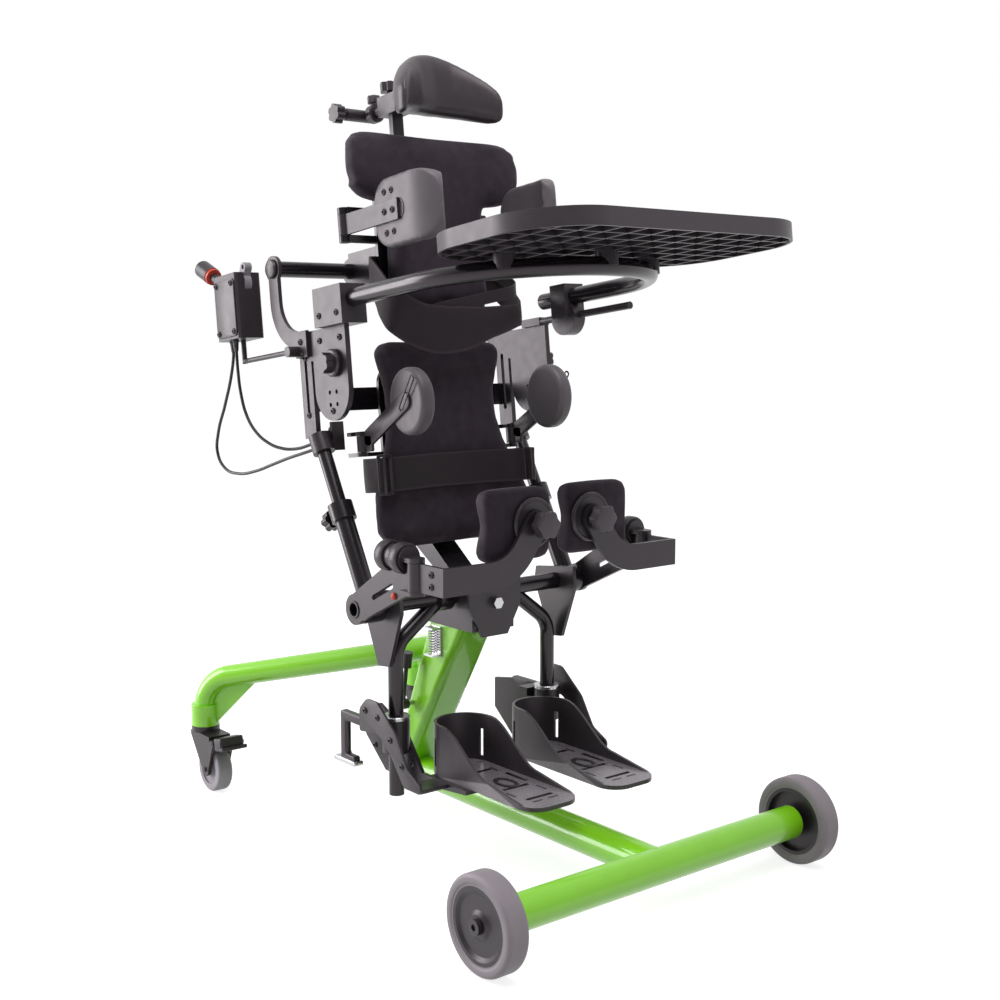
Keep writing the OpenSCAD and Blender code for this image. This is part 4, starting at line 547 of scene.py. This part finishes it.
def plate_at(origin, along, outward):
    along, outward = Vector(along).normalized(), Vector(outward).normalized()
    across = outward.cross(along)
    return Matrix.Translation(origin) @ Matrix((along, across, outward)).transposed().to_4x4()


def copies(make, places):
    bm = bmesh.new()
    scrap = bpy.data.meshes.new("scrap")
    for place in places:
        part = make()
        bmesh.ops.transform(part, matrix=place, verts=part.verts)
        part.to_mesh(scrap)
        part.free()
        bm.from_mesh(scrap)
    bpy.data.meshes.remove(scrap)
    return bm


print("sides:", [side for side, _ in SIDES])

# %% [markdown]
# ## Cushions
# Seat, back and knee cushions are foam in a knitted cover. A cover drawn over foam bulges between its edges, and
# that is hard to draw by hand, so the cloth solver does it: a copy of the solid, a little smaller, is rebuilt as an
# even net and blown up with the rear face pinned to its board. A cap keeps the swell to a few millimetres.


# %% Foam and net
def foam_core(node, shrink_mm):
    bm = bmesh.new()
    bm.from_mesh(frame["nodes"][node].data)
    bmesh.ops.remove_doubles(bm, verts=bm.verts, dist=0.00002)
    bmesh.ops.recalc_face_normals(bm, faces=bm.faces)
    bm.normal_update()
    for vert in bm.verts:
        vert.co -= vert.normal * shrink_mm / 1000
    mesh = bpy.data.meshes.new(node + "_cover")
    bm.to_mesh(mesh)
    bm.free()
    cover = bpy.data.objects.new(node + "_cover", mesh)
    scene.collection.objects.link(cover)
    return cover


def apply_all(piece):
    shaped = bpy.data.meshes.new_from_object(piece.evaluated_get(bpy.context.evaluated_depsgraph_get()))
    piece.modifiers.clear()
    piece.data = shaped


def even_net(cover, voxel_mm):
    net = cover.modifiers.new("net", "REMESH")
    net.mode = "VOXEL"
    net.voxel_size = voxel_mm / 1000
    apply_all(cover)


def reshape(cover, form):
    for vert in cover.data.vertices:
        vert.co = SUPPORT @ form(TO_SUPPORT @ vert.co)


# %% Cover blown up and settled
COVER_PRESSURE, SWELL_FRAMES = 4.0, 20


def blow_up(cover, pinned, cap_mm):
    start = [vert.co.copy() for vert in cover.data.vertices]
    held = cover.vertex_groups.new(name="held")
    held.add([vert.index for vert in cover.data.vertices if pinned(vert.co)], 1.0, "REPLACE")
    cloth = cover.modifiers.new("cloth", "CLOTH")
    cloth.settings.use_pressure = True
    cloth.settings.uniform_pressure_force = COVER_PRESSURE
    cloth.settings.vertex_group_mass = "held"
    cloth.settings.effector_weights.gravity = 0
    cloth.settings.quality = 5
    cloth.point_cache.frame_start, cloth.point_cache.frame_end = 1, SWELL_FRAMES
    for step in range(1, SWELL_FRAMES + 1):
        scene.frame_set(step)
    apply_all(cover)
    scene.frame_set(1)
    swell = 0
    for vert, was in zip(cover.data.vertices, start):
        move = vert.co - was
        if move.length > cap_mm / 1000:
            vert.co = was + move.normalized() * cap_mm / 1000
        swell = max(swell, (vert.co - was).length)
    cover.data.update()
    return 1000 * swell


def settle(cover, rounds, finish, body, node):
    bm = bmesh.new()
    bm.from_mesh(cover.data)
    for _ in range(rounds):
        bmesh.ops.smooth_vert(
            bm, verts=bm.verts, factor=0.5, use_axis_x=True, use_axis_y=True, use_axis_z=True
        )
    bm.to_mesh(cover.data)
    bm.free()
    cover.data.materials.clear()
    cover.data.materials.append(finish)
    cover.data.shade_smooth()
    rounder = cover.modifiers.new("round", "SUBSURF")
    rounder.levels = rounder.render_levels = 1
    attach(cover, body)
    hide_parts(node)


def cushion(node, body, shrink_mm, voxel_mm, cap_mm, pinned, form=None):
    cover = foam_core(node, shrink_mm)
    even_net(cover, voxel_mm)
    if form:
        reshape(cover, form)
    swell = blow_up(cover, pinned, cap_mm)
    settle(cover, 3, cushion_knit, body, node)
    print(node, len(cover.data.vertices), "points, swelled", round(swell, 1), "mm")


# %% [markdown]
# The back cushion has a waist and square upper wings. Its net is stretched sideways by a list of widths, from the
# lower edge to the upper, before it is blown up.

# %% Seat and back cushions
SEAT_REAR, BACK_REAR = 72, 59
BACK_LOW, BACK_HIGH = 432, 262
BACK_DROP, BACK_DROP_SHARE = 14, 0.2
WIDER = [
    (0, 1), (0.55, 0.97), (0.585, 0.93), (0.61, 1.12), (0.64, 1.10), (0.70, 1.02), (0.86, 1.02), (0.94, 1.09),
    (0.985, 1.24), (1, 1.42),
]


def between(steps, t):
    for (t0, v0), (t1, v1) in zip(steps, steps[1:]):
        if t <= t1:
            return v0 + (v1 - v0) * max(0, t - t0) / (t1 - t0)
    return steps[-1][1]


def squarer(p):
    t = (p.z - BACK_LOW) / BACK_HIGH
    return Vector((p.x * between(WIDER, t), p.y, p.z - BACK_DROP * max(0, 1 - t / BACK_DROP_SHARE)))


cushion("seat_pad", "support", 4, 5, 7, lambda co: (TO_SUPPORT @ co).y > SEAT_REAR)
cushion("back_pad", "back", 4, 5, 7, lambda co: (TO_SUPPORT @ co).y > BACK_REAR, squarer)

# %% Knee cushions
KNEE_BOARD = -206
for side, _ in SIDES:
    cushion("knee_pad_" + side, "knee_cup_" + side, 3, 4, 5, lambda co: co.y < KNEE_BOARD / 1000)

# %% [markdown]
# ## Moulded pads
# The head pad and the chest pads are moulded foam with a skin: no seams, and every edge is round. The solid is
# rebuilt as a fine even net, which is then relaxed until its edges run over softly. The head pad's wings droop and
# come forward, while its rear stays on its plate.

# %% Moulded pads
SKIN_MM = 0.4
HEAD_HALF, HEAD_Z = 92, 752
HEAD_REAR, HEAD_FOAM = 60, 16
HEAD_TALLER, HEAD_RISE, HEAD_DROOP, HEAD_WRAP = 0.12, 9, 26, 10


def moulded(node, body, voxel_mm, rounds, finish, form=None):
    cover = foam_core(node, -SKIN_MM)
    even_net(cover, voxel_mm)
    if form:
        reshape(cover, form)
    settle(cover, rounds, finish, body, node)
    print(node, len(cover.data.vertices), "points")


def drooped(p):
    share, foam = p.x / HEAD_HALF, min(1, max(0, (HEAD_REAR - p.y) / HEAD_FOAM))
    taller = HEAD_TALLER * (p.z - HEAD_Z) + HEAD_RISE - HEAD_DROOP * share * share
    return Vector((p.x, p.y - HEAD_WRAP * foam * share * share, p.z + foam * taller))


moulded("head_pad", "head_rest", 3, 8, moulded_pad, drooped)
for side, _ in SIDES:
    moulded("chest_pad_" + side, "chest_" + side, 2.5, 9, grey_pad)

# %% [markdown]
# ## Hip supports
# A hip support is an oval moulded pad on a flat arm. The pad is a circle pressed to an oval, extruded and rounded;
# the arm is a plate with full round ends. The long slot lets the pad slide on the arm.

# %% Hip supports
HIP_X, HIP_LONG, HIP_HIGH, HIP_THICK = 138, 86, 96, 24
HIP_PAD, HIP_PIN = Vector((0, -55, 286)), Vector((0, 58, 232))
HIP_REACH = (HIP_PAD - HIP_PIN).length
HIP_PLATE = 5
HIP_ARM, HIP_WEB = rect(8, HIP_REACH + 14, -13, 13), rect(2, 26, -11.8, 11.8)
HIP_SLOT, HIP_SLOT_START, HIP_SLOT_RUN = rect(-8, 52, -5, 5), Vector((0, 4, -6)), (0, -0.62, 0.78)
HIP_BARREL = [(4.7, -12), (9, -12), (9, 12), (4.7, 12)]


def hip_pad_form():
    bm = bmesh.new()
    bmesh.ops.create_circle(bm, cap_ends=True, segments=64, radius=0.5)
    bmesh.ops.scale(bm, vec=(HIP_HIGH, HIP_LONG, 1), verts=bm.verts)
    lift(bm, HIP_THICK)
    soften(bm, 8, segments=6)
    return bm


for side, s in SIDES:
    out, body = Vector((s, 0, 0)), "hip_support_" + side
    pad_place = plate_at(HIP_PAD + (HIP_X - HIP_THICK + 1) * out, (0, 0, 1), out)
    pad = add_piece("hip_pad_" + side, hip_pad_form(), grey_pad, body, SUPPORT @ pad_place, sharp=50)
    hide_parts("hip_" + side)
    pin = HIP_PIN + HIP_X * out
    arm_place = plate_at(pin, HIP_PAD - HIP_PIN, out)
    add_piece("hip_arm_" + side, slab(HIP_ARM, HIP_PLATE, 12.5), black_alloy, body, SUPPORT @ arm_place)
    slot_rim = slab(HIP_SLOT, 1.6, 4.9, edge_mm=0.4, rim_mm=2)
    slot_place = plate_at(HIP_PAD + (HIP_X + 4.4) * out + HIP_SLOT_START, HIP_SLOT_RUN, out)
    add_piece("hip_slot_" + side, slot_rim, hub_black, body, SUPPORT @ slot_place)
    barrel_place = Matrix.Translation(pin + HIP_PLATE / 2 * out)
    add_piece("hip_barrel_" + side, turned(HIP_BARREL), black_alloy, body, SUPPORT @ barrel_place)
    web_place = plate_at(pin, (0, -1, 0), out)
    add_piece("hip_web_" + side, slab(HIP_WEB, HIP_PLATE, 3), black_alloy, body, SUPPORT @ web_place)
print("hip arm", round(HIP_REACH), "mm from pin to pad")

# %% [markdown]
# ## Straps
# A strap is webbing: flat, stiff across its width, and soft along its length. It is swept row by row: the edge of
# the last row is extruded to the next place on a smooth route, then the sheet is given its thickness. Each row
# remembers how far along it lies, so the weave can follow the strap round its bends.


# %% Strap helpers
def smooth_route(knots, per=6):
    knots = [Vector(knot) for knot in knots]
    points = []
    for i in range(len(knots) - 1):
        before, after = knots[max(i - 1, 0)], knots[min(i + 2, len(knots) - 1)]
        a, b = knots[i], knots[i + 1]
        points += interpolate_bezier(a, a + (b - before) / 6, b - (after - a) / 6, b, per + 1)[:-1]
    return points + [knots[-1]]


def band(route, widths, thick, columns, crown):
    bm = bmesh.new()
    across = bm.verts.layers.float.new("across")
    along = bm.verts.layers.float.new("along")
    row = [bm.verts.new() for _ in range(columns + 1)]
    for i, vert in enumerate(row):
        vert[across] = i / columns - 0.5
    edges = [bm.edges.new(pair) for pair in zip(row, row[1:])]
    run, last = 0.0, len(route) - 1
    for i, point in enumerate(route):
        if i:
            made = bmesh.ops.extrude_edge_only(bm, edges=edges)["geom"]
            row = [g for g in made if isinstance(g, bmesh.types.BMVert)]
            sides = [g for g in made if isinstance(g, bmesh.types.BMEdge)]
            edges = [edge for edge in sides if edge.verts[0] in row and edge.verts[1] in row]
            run += (point - route[i - 1]).length
        ahead = (route[min(i + 1, last)] - route[max(i - 1, 0)]).normalized()
        up = (Vector((0, 0, 1)) - ahead * ahead.z).normalized()
        outward = ahead.cross(up)
        for vert in row:
            share = vert[across]
            rise = up * share * between(widths, i / last)
            vert.co = point + rise + outward * crown * (1 - 4 * share * share)
            vert[along] = run
    uv = bm.loops.layers.uv.new("weave")
    for face in bm.faces:
        for loop in face.loops:
            loop[uv].uv = (loop.vert[along] / 1000, loop.vert[across])
    bmesh.ops.solidify(bm, geom=bm.faces[:], thickness=thick)
    return bm, run


def strap(name, knots, widths, thick, columns, crown, body, node):
    bm, length = band(smooth_route(knots), widths, thick, columns, crown)
    piece = add_piece(name, bm, webbing_black, body, SUPPORT, 60)
    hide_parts(node)
    print(name, round(length), "mm long")


# %% [markdown]
# The chest strap is broad in front and narrow at the sides, and a thin strap runs above it. Both start behind the
# back board, come round its edges and meet the board again on the other side.

# %% Chest strap
CHEST_KNOTS = [
    (-66, 73.4, 488), (-90, 74.8, 487), (-101, 64, 482), (-108, 40, 462), (-110, 16, 437), (-102, -4, 416),
    (-80, -14, 400), (-52, -18, 392), (-20, -20, 391), (14, -20, 395), (46, -20, 401), (80, -18, 407),
    (110, -12, 413), (128, 0, 418), (132, 18, 430), (126, 40, 456), (110, 60, 478), (90, 74.8, 487),
    (66, 73.4, 488),
]
CHEST_WIDTHS = [(0, 46), (0.2, 50), (0.3, 62), (0.4, 72), (0.48, 66), (0.56, 48), (0.66, 34), (1, 32)]
TAIL_KNOTS = [
    (-52, -14, 418), (-24, -16, 425), (12, -17, 431), (48, -17, 438), (84, -14, 445), (114, -6, 451),
    (128, 10, 460), (124, 36, 478), (108, 60, 498), (88, 74.6, 505), (66, 73.4, 506),
]
TAIL_WIDTHS = [(0, 18), (1, 18)]
strap("chest_band", CHEST_KNOTS, CHEST_WIDTHS, 3.2, 10, 2.0, "back", "chest_strap")
strap("chest_tail", TAIL_KNOTS, TAIL_WIDTHS, 2.4, 4, 0.0, "back", "chest_strap")

# %% [markdown]
# The lap belt lies over the seat cushion and goes round its sides to the seat board. Its spare length lies in small
# waves near the left end, and a slider with a bar sits on the right.

# %% Lap belt
LAP_KNOTS = [
    (-80, 76.9, 185), (-96, 76.9, 185), (-124, 74, 185), (-140, 62, 185), (-146.5, 42, 185), (-145, 14, 185),
    (-130, 2, 185), (-96, 6, 186), (-50, 14, 187), (0, 17, 187), (50, 13, 187), (84, 5, 186), (104, 1, 186),
    (112, -4, 186), (119, 3, 186), (126, -3, 186), (133, 4, 186), (140, 6, 185), (145, 16, 185),
    (146.5, 42, 185), (140, 62, 185), (124, 74, 185), (96, 76.9, 185), (80, 76.9, 185),
]
LAP_WIDTHS = [(0, 50), (1, 50)]
SLIDER, SLIDER_AT = rect(-30, 30, -11, 11), (-141, 5, 185)
SLIDER_BAR, SLIDER_BAR_AT = rect(-28, 28, -2.2, 2.2), (-141.6, 4.2, 185)
SLIDER_FACING = (-0.6, -0.8, 0)
strap("lap_band", LAP_KNOTS, LAP_WIDTHS, 2.6, 8, 0.6, "support", "lap_belt")
slider = slab(SLIDER, 3.4, 4, edge_mm=0.9, rim_mm=4.5)
slider_place = SUPPORT @ plate_at(SLIDER_AT, (0, 0, 1), SLIDER_FACING)
add_piece("lap_slider", slider, hub_black, "support", slider_place)
bar_place = SUPPORT @ plate_at(SLIDER_BAR_AT, (0, 0, 1), SLIDER_FACING)
add_piece("lap_slider_bar", slab(SLIDER_BAR, 3), hub_black, "support", bar_place)

# %% [markdown]
# ## Painted faces
# Some colours change on one solid: the red ring of the turned press knob, the bright bar of a foot lever, the bolt
# of the mast's head, and the floor of a sandal, which is painted paler than the moulding as a painted reflection of
# the light it catches at a grazing angle. A new piece would have to fit over the solid, so instead the faces that lie
# there get another finish.

# %% Painted faces
KNOB_LEAN, KNOB_FOOT = math.radians(28), Vector((-208.5, 294, 486))
KNOB_RUN = Vector((0, math.cos(KNOB_LEAN), math.sin(KNOB_LEAN)))
RING_START, RING_END = 61.6, 68.2
LEVER_BAR_TOP, BOLT_Y = 131, -62.6
FLOOR_Z, FLOOR_SKIN, FLOOR_FRONT, FLOOR_REAR = 132, 0.6, -285, -45


def paint_faces(node, finish, inside, place):
    mesh = frame["nodes"][node].data
    mesh.materials.append(finish)
    into, count = place.inverted(), 0
    for face in mesh.polygons:
        if inside(into @ face.center):
            face.material_index = len(mesh.materials) - 1
            count += 1
    print(node, count, "faces in", finish.name)


def on_floor(p):
    return abs(p.z - FLOOR_Z) < FLOOR_SKIN and FLOOR_FRONT < p.y < FLOOR_REAR


paint_faces("control_knob", signal_red, lambda p: RING_START < (p - KNOB_FOOT).dot(KNOB_RUN) < RING_END, SUPPORT)
paint_faces("mast_head", steel, lambda p: p.y < BOLT_Y, MM)
for side, _ in SIDES:
    paint_faces("foot_lever_" + side, steel, lambda p: p.z < LEVER_BAR_TOP, MM)
    # The floor faces get the paler finish: painted reflection.
    paint_faces("footplate_" + side, sandal_floor_reflection, on_floor, MM)

# %% [markdown]
# ## Control box
# The hand control has a cover plate held by four screws, and a tapered rubber boot where each cable leaves and
# arrives, so the sheath isn't bent sharply. The boots' places come from the ends of the cables' routes.

# %% Screws and cover plate
SCREW = [(0, 1.4), (2.1, 1.4), (2.1, 3.0), (3.2, 2.8), (4.4, 1.9), (4.8, 0.8), (4.8, -0.5), (0, -0.5)]
COVER, COVER_AT = rect(-31, 31, -44, 44), Vector((-230.4, 275, 456))
BOOT = [(2.6, 0), (5.4, 0), (5.4, 3), (4.6, 4), (4.2, 9), (3.4, 17), (2.6, 19)]
BOOT_IN, FERRULE_IN = Vector((0, 0, 1)), Vector((0, -0.5, 0))


def screws(places):
    return copies(lambda: turned(SCREW, 24), places)


def boots(places):
    return copies(lambda: turned(BOOT, 24), places)


cover_place = SUPPORT @ plate_at(COVER_AT, (0, 1, 0), (-1, 0, 0))
add_piece("box_cover", slab(COVER, 2.2, 7, edge_mm=1.0), black_alloy, "back", cover_place)
cover_heads = [at(COVER_AT + Vector((-2, i * 24, j * 37)), (-1, 0, 0)) for i in (-1, 1) for j in (-1, 1)]
add_piece("box_screws", screws(cover_heads), hub_black, "back", SUPPORT)
boot_places = [at(Vector(route[0]) + BOOT_IN, (0, 0, -1)) for route in CABLE_ROUTES.values()]
add_piece("cable_boots", boots(boot_places), cable_black, "back", SUPPORT)
ferrule_places = [at(Vector(route[-1]) + FERRULE_IN, (0, 1, 0)) for route in CABLE_ROUTES.values()]
add_piece("cable_ferrules", boots(ferrule_places), cable_black, "back", SUPPORT)
print(len(cover_heads), "screws in the cover,", len(boot_places), "boots")

# %% [markdown]
# ## Fittings on the body support
# Screws hold the side plates, arms and clamps together. They stand where the photograph shows a head or a hole, and
# one object holds all the screws of one moving body, so that they swing with it.

# %% Screws on the frame
PLATE_X, PLATE_HEADS = 189.8, ((120, 280), (120, 364), (22, 385), (76, 385), (53, 282))
UPRIGHT_X, UPRIGHT_HEADS = 195.8, ((120, 368), (120, 388))
CLAMP_X, CLAMP_HEADS = 202.8, ((6, 418), (52, 418))
TUBE_CAP, TUBE_END = [(0, 5), (8, 4.6), (13, 3), (14.5, 0.8), (14.5, -0.5), (0, -0.5)], (198, 186, 505)


def heads(s, x, places):
    return [at((s * x, y, z), (s, 0, 0)) for y, z in places]


back_heads = []
for _, s in SIDES:
    back_heads += heads(s, PLATE_X, PLATE_HEADS) + heads(s, UPRIGHT_X, UPRIGHT_HEADS)
back_heads += heads(-1, CLAMP_X, CLAMP_HEADS)
add_piece("back_screws", screws(back_heads), hub_black, "back", SUPPORT)
cap_places = [at((s * TUBE_END[0], *TUBE_END[1:]), (s, 0, 0)) for _, s in SIDES]
add_piece("tube_caps", copies(lambda: turned(TUBE_CAP), cap_places), hub_black, "back", SUPPORT)
print(len(back_heads), "screws on the back")

# %% Chest supports
CHEST_Z = 556
CHEST_ARM_X, CHEST_ARM_HEADS = 130.8, ((-26, CHEST_Z), (-46, CHEST_Z))
CHEST_PAD_X, CHEST_PAD_HEADS = 125.6, [(y, CHEST_Z + dz) for y in (-22, -40) for dz in (-29, 29)]
CHEST_SLOT, CHEST_SLOT_AT = rect(-10, 10, -13, 13), Vector((125.9, -58, CHEST_Z))
for side, s in SIDES:
    chest_heads = heads(s, CHEST_ARM_X, CHEST_ARM_HEADS) + heads(s, CHEST_PAD_X, CHEST_PAD_HEADS)
    add_piece("chest_screws_" + side, screws(chest_heads), hub_black, "chest_" + side, SUPPORT)
    slot_ring = slab(CHEST_SLOT, 1.4, 9.9, edge_mm=0.4, rim_mm=3)
    slot_place = plate_at((s * CHEST_SLOT_AT.x, CHEST_SLOT_AT.y, CHEST_SLOT_AT.z), (0, -1, 0), (s, 0, 0))
    add_piece("chest_slot_" + side, slot_ring, hub_black, "chest_" + side, SUPPORT @ slot_place)
print(len(chest_heads), "screws on each chest support")

# %% [markdown]
# ## Knee supports
# Each knee pad turns on a stud behind a ring plate, and a lobed knob in front locks it. The clamp behind the arm is
# a short tube with two collars, and a red button releases it.

# %% Knee fittings
KNEE_X, KNEE_Z, RING_Y, KNOB_Y = 52, 500.35, -210.8, -228.6
KNEE_RING = [(13, 0), (35, 0), (35, 1.2), (33.6, 3.2), (31, 3.6), (29, 2.2), (15, 2.2), (13, 2.6)]
COLLAR = [(17.2, -9), (20, -9), (21.5, -6), (21.5, 6), (20, 9), (17.2, 9)]
COLLAR_X, COLLAR_YS, COLLAR_Z = 209.5, (-130, -96), 458
BUTTON, BUTTON_AT = [(0, 4.5), (3, 4.2), (4.6, 3), (5, 0), (5, -0.5), (0, -0.5)], (213.4, -112, 404)
KNEE_ARM_X, KNEE_ARM_HEADS = 212.3, ((-196, 428), (-196, 444))
for side, s in SIDES:
    ring_place = MM @ at((s * KNEE_X, RING_Y, KNEE_Z), (0, -1, 0))
    add_piece("knee_ring_" + side, turned(KNEE_RING, 48), black_alloy, "knee_cup_" + side, ring_place)
    knob_place = MM @ at((s * KNEE_X, KNOB_Y, KNEE_Z), (0, -1, 0))
    add_piece("knee_knob_" + side, lobed(20, 17), knob_grey, "knee_" + side, knob_place)
    collars = copies(lambda: turned(COLLAR), [at((s * COLLAR_X, y, COLLAR_Z), (0, 1, 0)) for y in COLLAR_YS])
    add_piece("knee_collars_" + side, collars, black_alloy, "support")
    button_place = MM @ at((s * BUTTON_AT[0], *BUTTON_AT[1:]), (s, 0, 0))
    add_piece("knee_button_" + side, turned(BUTTON, 24), signal_red, "support", button_place)
    arm_heads = heads(s, KNEE_ARM_X, KNEE_ARM_HEADS)
    add_piece("knee_screws_" + side, screws(arm_heads), hub_black, "knee_" + side)
print("knee knobs at", KNEE_Z, "mm")

# %% [markdown]
# ## Feet
# A foot clamp slides on the hanger tube, and a bright ring closes it. The sandal's floor has an oval ring round its
# middle hole: a turned ring that is stretched to an oval.

# %% Foot fittings
SANDAL_X, SANDAL_Z = 73, 130.8
CLAMP_RING = [(11.6, 0), (19, 0), (20.5, 1.2), (20.5, 5.2), (19, 6.4), (11.6, 6.4)]
CLAMP_RING_AT = (144, -12.5, 200)
OVAL, OVAL_STRETCH, OVAL_Y = [(9, 0), (14, 0), (14, 1.2), (13, 2), (10, 2), (9, 1.2)], 1.7, -178
BRACKET_X, BRACKET_HEADS = 127.8, ((72, 178), (40, 186), (66, 140), (-30, 134))
for side, s in SIDES:
    foot = "foot_" + side
    ring_place = MM @ Matrix.Translation((s * CLAMP_RING_AT[0], *CLAMP_RING_AT[1:]))
    add_piece("foot_ring_" + side, turned(CLAMP_RING), steel, foot, ring_place)
    oval = turned(OVAL, 40)
    bmesh.ops.scale(oval, vec=(1, OVAL_STRETCH, 1), verts=oval.verts)
    oval_place = MM @ Matrix.Translation((s * SANDAL_X, OVAL_Y, SANDAL_Z + 1))
    add_piece("sandal_oval_" + side, oval, hub_black, foot, oval_place)
    add_piece("bracket_screws_" + side, screws(heads(s, BRACKET_X, BRACKET_HEADS)), hub_black, foot)
print("foot rings on both hangers")

# %% [markdown]
# ## Foot clamps
# Outside each hanger an inclined plate joins the clamp to the sandal's pan, and a C-shaped handle with a bright
# lower bar opens it. Both are cut from plate: an outline, a thickness and rounded corners.

# %% Foot plates and handles
STRUT = [
    (34, 178), (34, 212), (16, 230), (-12, 230), (-59, 192), (-86, 148), (-118, 132), (-118, 120), (-78, 120),
    (-46, 160), (-14, 184),
]
STRUT_X, STRUT_HEADS_X = 173.4, 177.2
STRUT_HEADS = ((18, 212), (-14, 208), (-46, 182), (-74, 150))
WEB_IN, WEB_OUT, WEB_FRONT, WEB_REAR, WEB_Z = 126, 176, -117, -80, 120.4
HANDLE = [(30, 196), (95, 196), (95, 119), (58, 119), (58, 131), (82, 131), (82, 182), (30, 182)]
HANDLE_X, HANDLE_BAR, HANDLE_BAR_X = 160.4, rect(54, 110, 117, 124), 158


def side_plate(outline, s, x_in, thick, round_mm, edge_mm=0.8):
    bm = slab([(y, s * z) for y, z in outline], thick, round_mm, edge_mm)
    bmesh.ops.transform(bm, matrix=plate_at((s * x_in, 0, 0), (0, 1, 0), (s, 0, 0)), verts=bm.verts)
    return bm


for side, s in SIDES:
    foot, clamp = "foot_" + side, "foot_clamp_" + side
    add_piece("foot_strut_" + side, side_plate(STRUT, s, STRUT_X, 4, 5), black_alloy, foot)
    web = slab(rect(s * WEB_IN, s * WEB_OUT, WEB_FRONT, WEB_REAR), 5, 3)
    add_piece("foot_web_" + side, web, black_alloy, foot, MM @ Matrix.Translation((0, 0, WEB_Z)))
    add_piece("strut_screws_" + side, screws(heads(s, STRUT_HEADS_X, STRUT_HEADS)), hub_black, foot)
    add_piece("foot_handle_" + side, side_plate(HANDLE, s, HANDLE_X, 11, 4, 1.6), black_alloy, clamp)
    add_piece("handle_bar_" + side, side_plate(HANDLE_BAR, s, HANDLE_BAR_X, 16, 2), steel, clamp)
print("foot plates", len(STRUT), "corners")

# %% [markdown]
# ## Brake pedals
# A rear caster is braked with the toe on a broad moulded block. It sits over the pedal's steel arm: a thick rounded
# block with a lip in front.

# %% Brake blocks
PEDAL_PIN, PEDAL_RISE, PEDAL_UNDER = (218, 386, 85.6), math.radians(12), 11
BLOCK, BLOCK_THICK = rect(12, 38, -21, 21), 21
LIP, LIP_THICK = rect(30, 46, -23, 23), 6
pedal_up = Vector((0, math.sin(PEDAL_RISE), math.cos(PEDAL_RISE)))
pedal_along = Vector((0, -math.cos(PEDAL_RISE), math.sin(PEDAL_RISE)))
for side, s in SIDES:
    toe = Vector((s * PEDAL_PIN[0], *PEDAL_PIN[1:])) - PEDAL_UNDER * pedal_up
    place = MM @ plate_at(toe, pedal_along, pedal_up)
    add_piece("brake_block_" + side, slab(BLOCK, BLOCK_THICK, 4, 2.2), hub_black, "pedal_" + side, place)
    add_piece("brake_lip_" + side, slab(LIP, LIP_THICK, 4, 1.6), hub_black, "pedal_" + side, place)
print("brake blocks on both casters")

# %% [markdown]
# ## Sandal floors
# The moulded floor carries a round heel mark and short slots for foot straps. The slots are not cut open: a thin dark
# plate lies on each, painted shade for the dark inside of the opening. The plates are copies of one unit plate, which
# is stretched to each slot's width and length.

# %% Sandal floors
SLOT_THICK = 1.6
SLOTS = [
    (0, -96, 3, 26), (-26, -118, 3, 18), (26, -118, 3, 18), (-27, -222, 3, 20), (27, -222, 3, 20),
    (-14, -262, 16, 3), (14, -262, 16, 3),
]
HEEL, HEEL_Y = [(7, 0), (13, 0), (13, 1.4), (12, 2), (8, 2), (7, 1.4)], -72
for side, s in SIDES:
    slot_places = [
        Matrix.Translation((s * SANDAL_X + x, y, SANDAL_Z)) @ Matrix.Diagonal((wide, long, SLOT_THICK, 1))
        for x, y, wide, long in SLOTS
    ]
    # A thin dark plate on each slot: painted shade standing in for the dark inside of the opening.
    slots = copies(lambda: slab(rect(-0.5, 0.5, -0.5, 0.5), 1, edge_mm=0), slot_places)
    add_piece("sandal_slot_shade_" + side, slots, hub_black, "foot_" + side)
    heel_place = MM @ Matrix.Translation((s * SANDAL_X, HEEL_Y, SANDAL_Z))
    add_piece("sandal_heel_" + side, turned(HEEL, 36), hub_black, "foot_" + side, heel_place)
print(len(SLOTS), "slots in each floor")

# %% [markdown]
# ## Knob discs and head joint
# Each side frame is clamped by a wide round knob, and the head support's cross rod by a collar with a small knob.

# %% Discs and collars
DISC = [(6, 0), (19, 0), (20, 1.5), (20, 6), (18, 8.5), (12, 9.5), (6, 9.5)]
DISC_X, DISC_Y, DISC_Z = 189.9, 40, 350
HEAD_COLLAR = [(8.2, -8), (13, -8), (14.5, -6), (14.5, 6), (13, 8), (8.2, 8)]
HEAD_ROD, HEAD_KNOB_UP = Vector((0, 170, 752)), Vector((0, 0, 16))
for side, s in SIDES:
    disc_place = SUPPORT @ at((s * DISC_X, DISC_Y, DISC_Z), (s, 0, 0))
    add_piece("side_disc_" + side, turned(DISC, 48), black_alloy, "back", disc_place)
add_piece("head_collar", turned(HEAD_COLLAR), black_alloy, "head", SUPPORT @ at(HEAD_ROD, (0, 1, 0)))
knob_place = SUPPORT @ at(HEAD_ROD + HEAD_KNOB_UP, (0, 0, 1))
add_piece("head_knob", lobed(11, 12), knob_grey, "head", knob_place)
print("discs and collars placed")
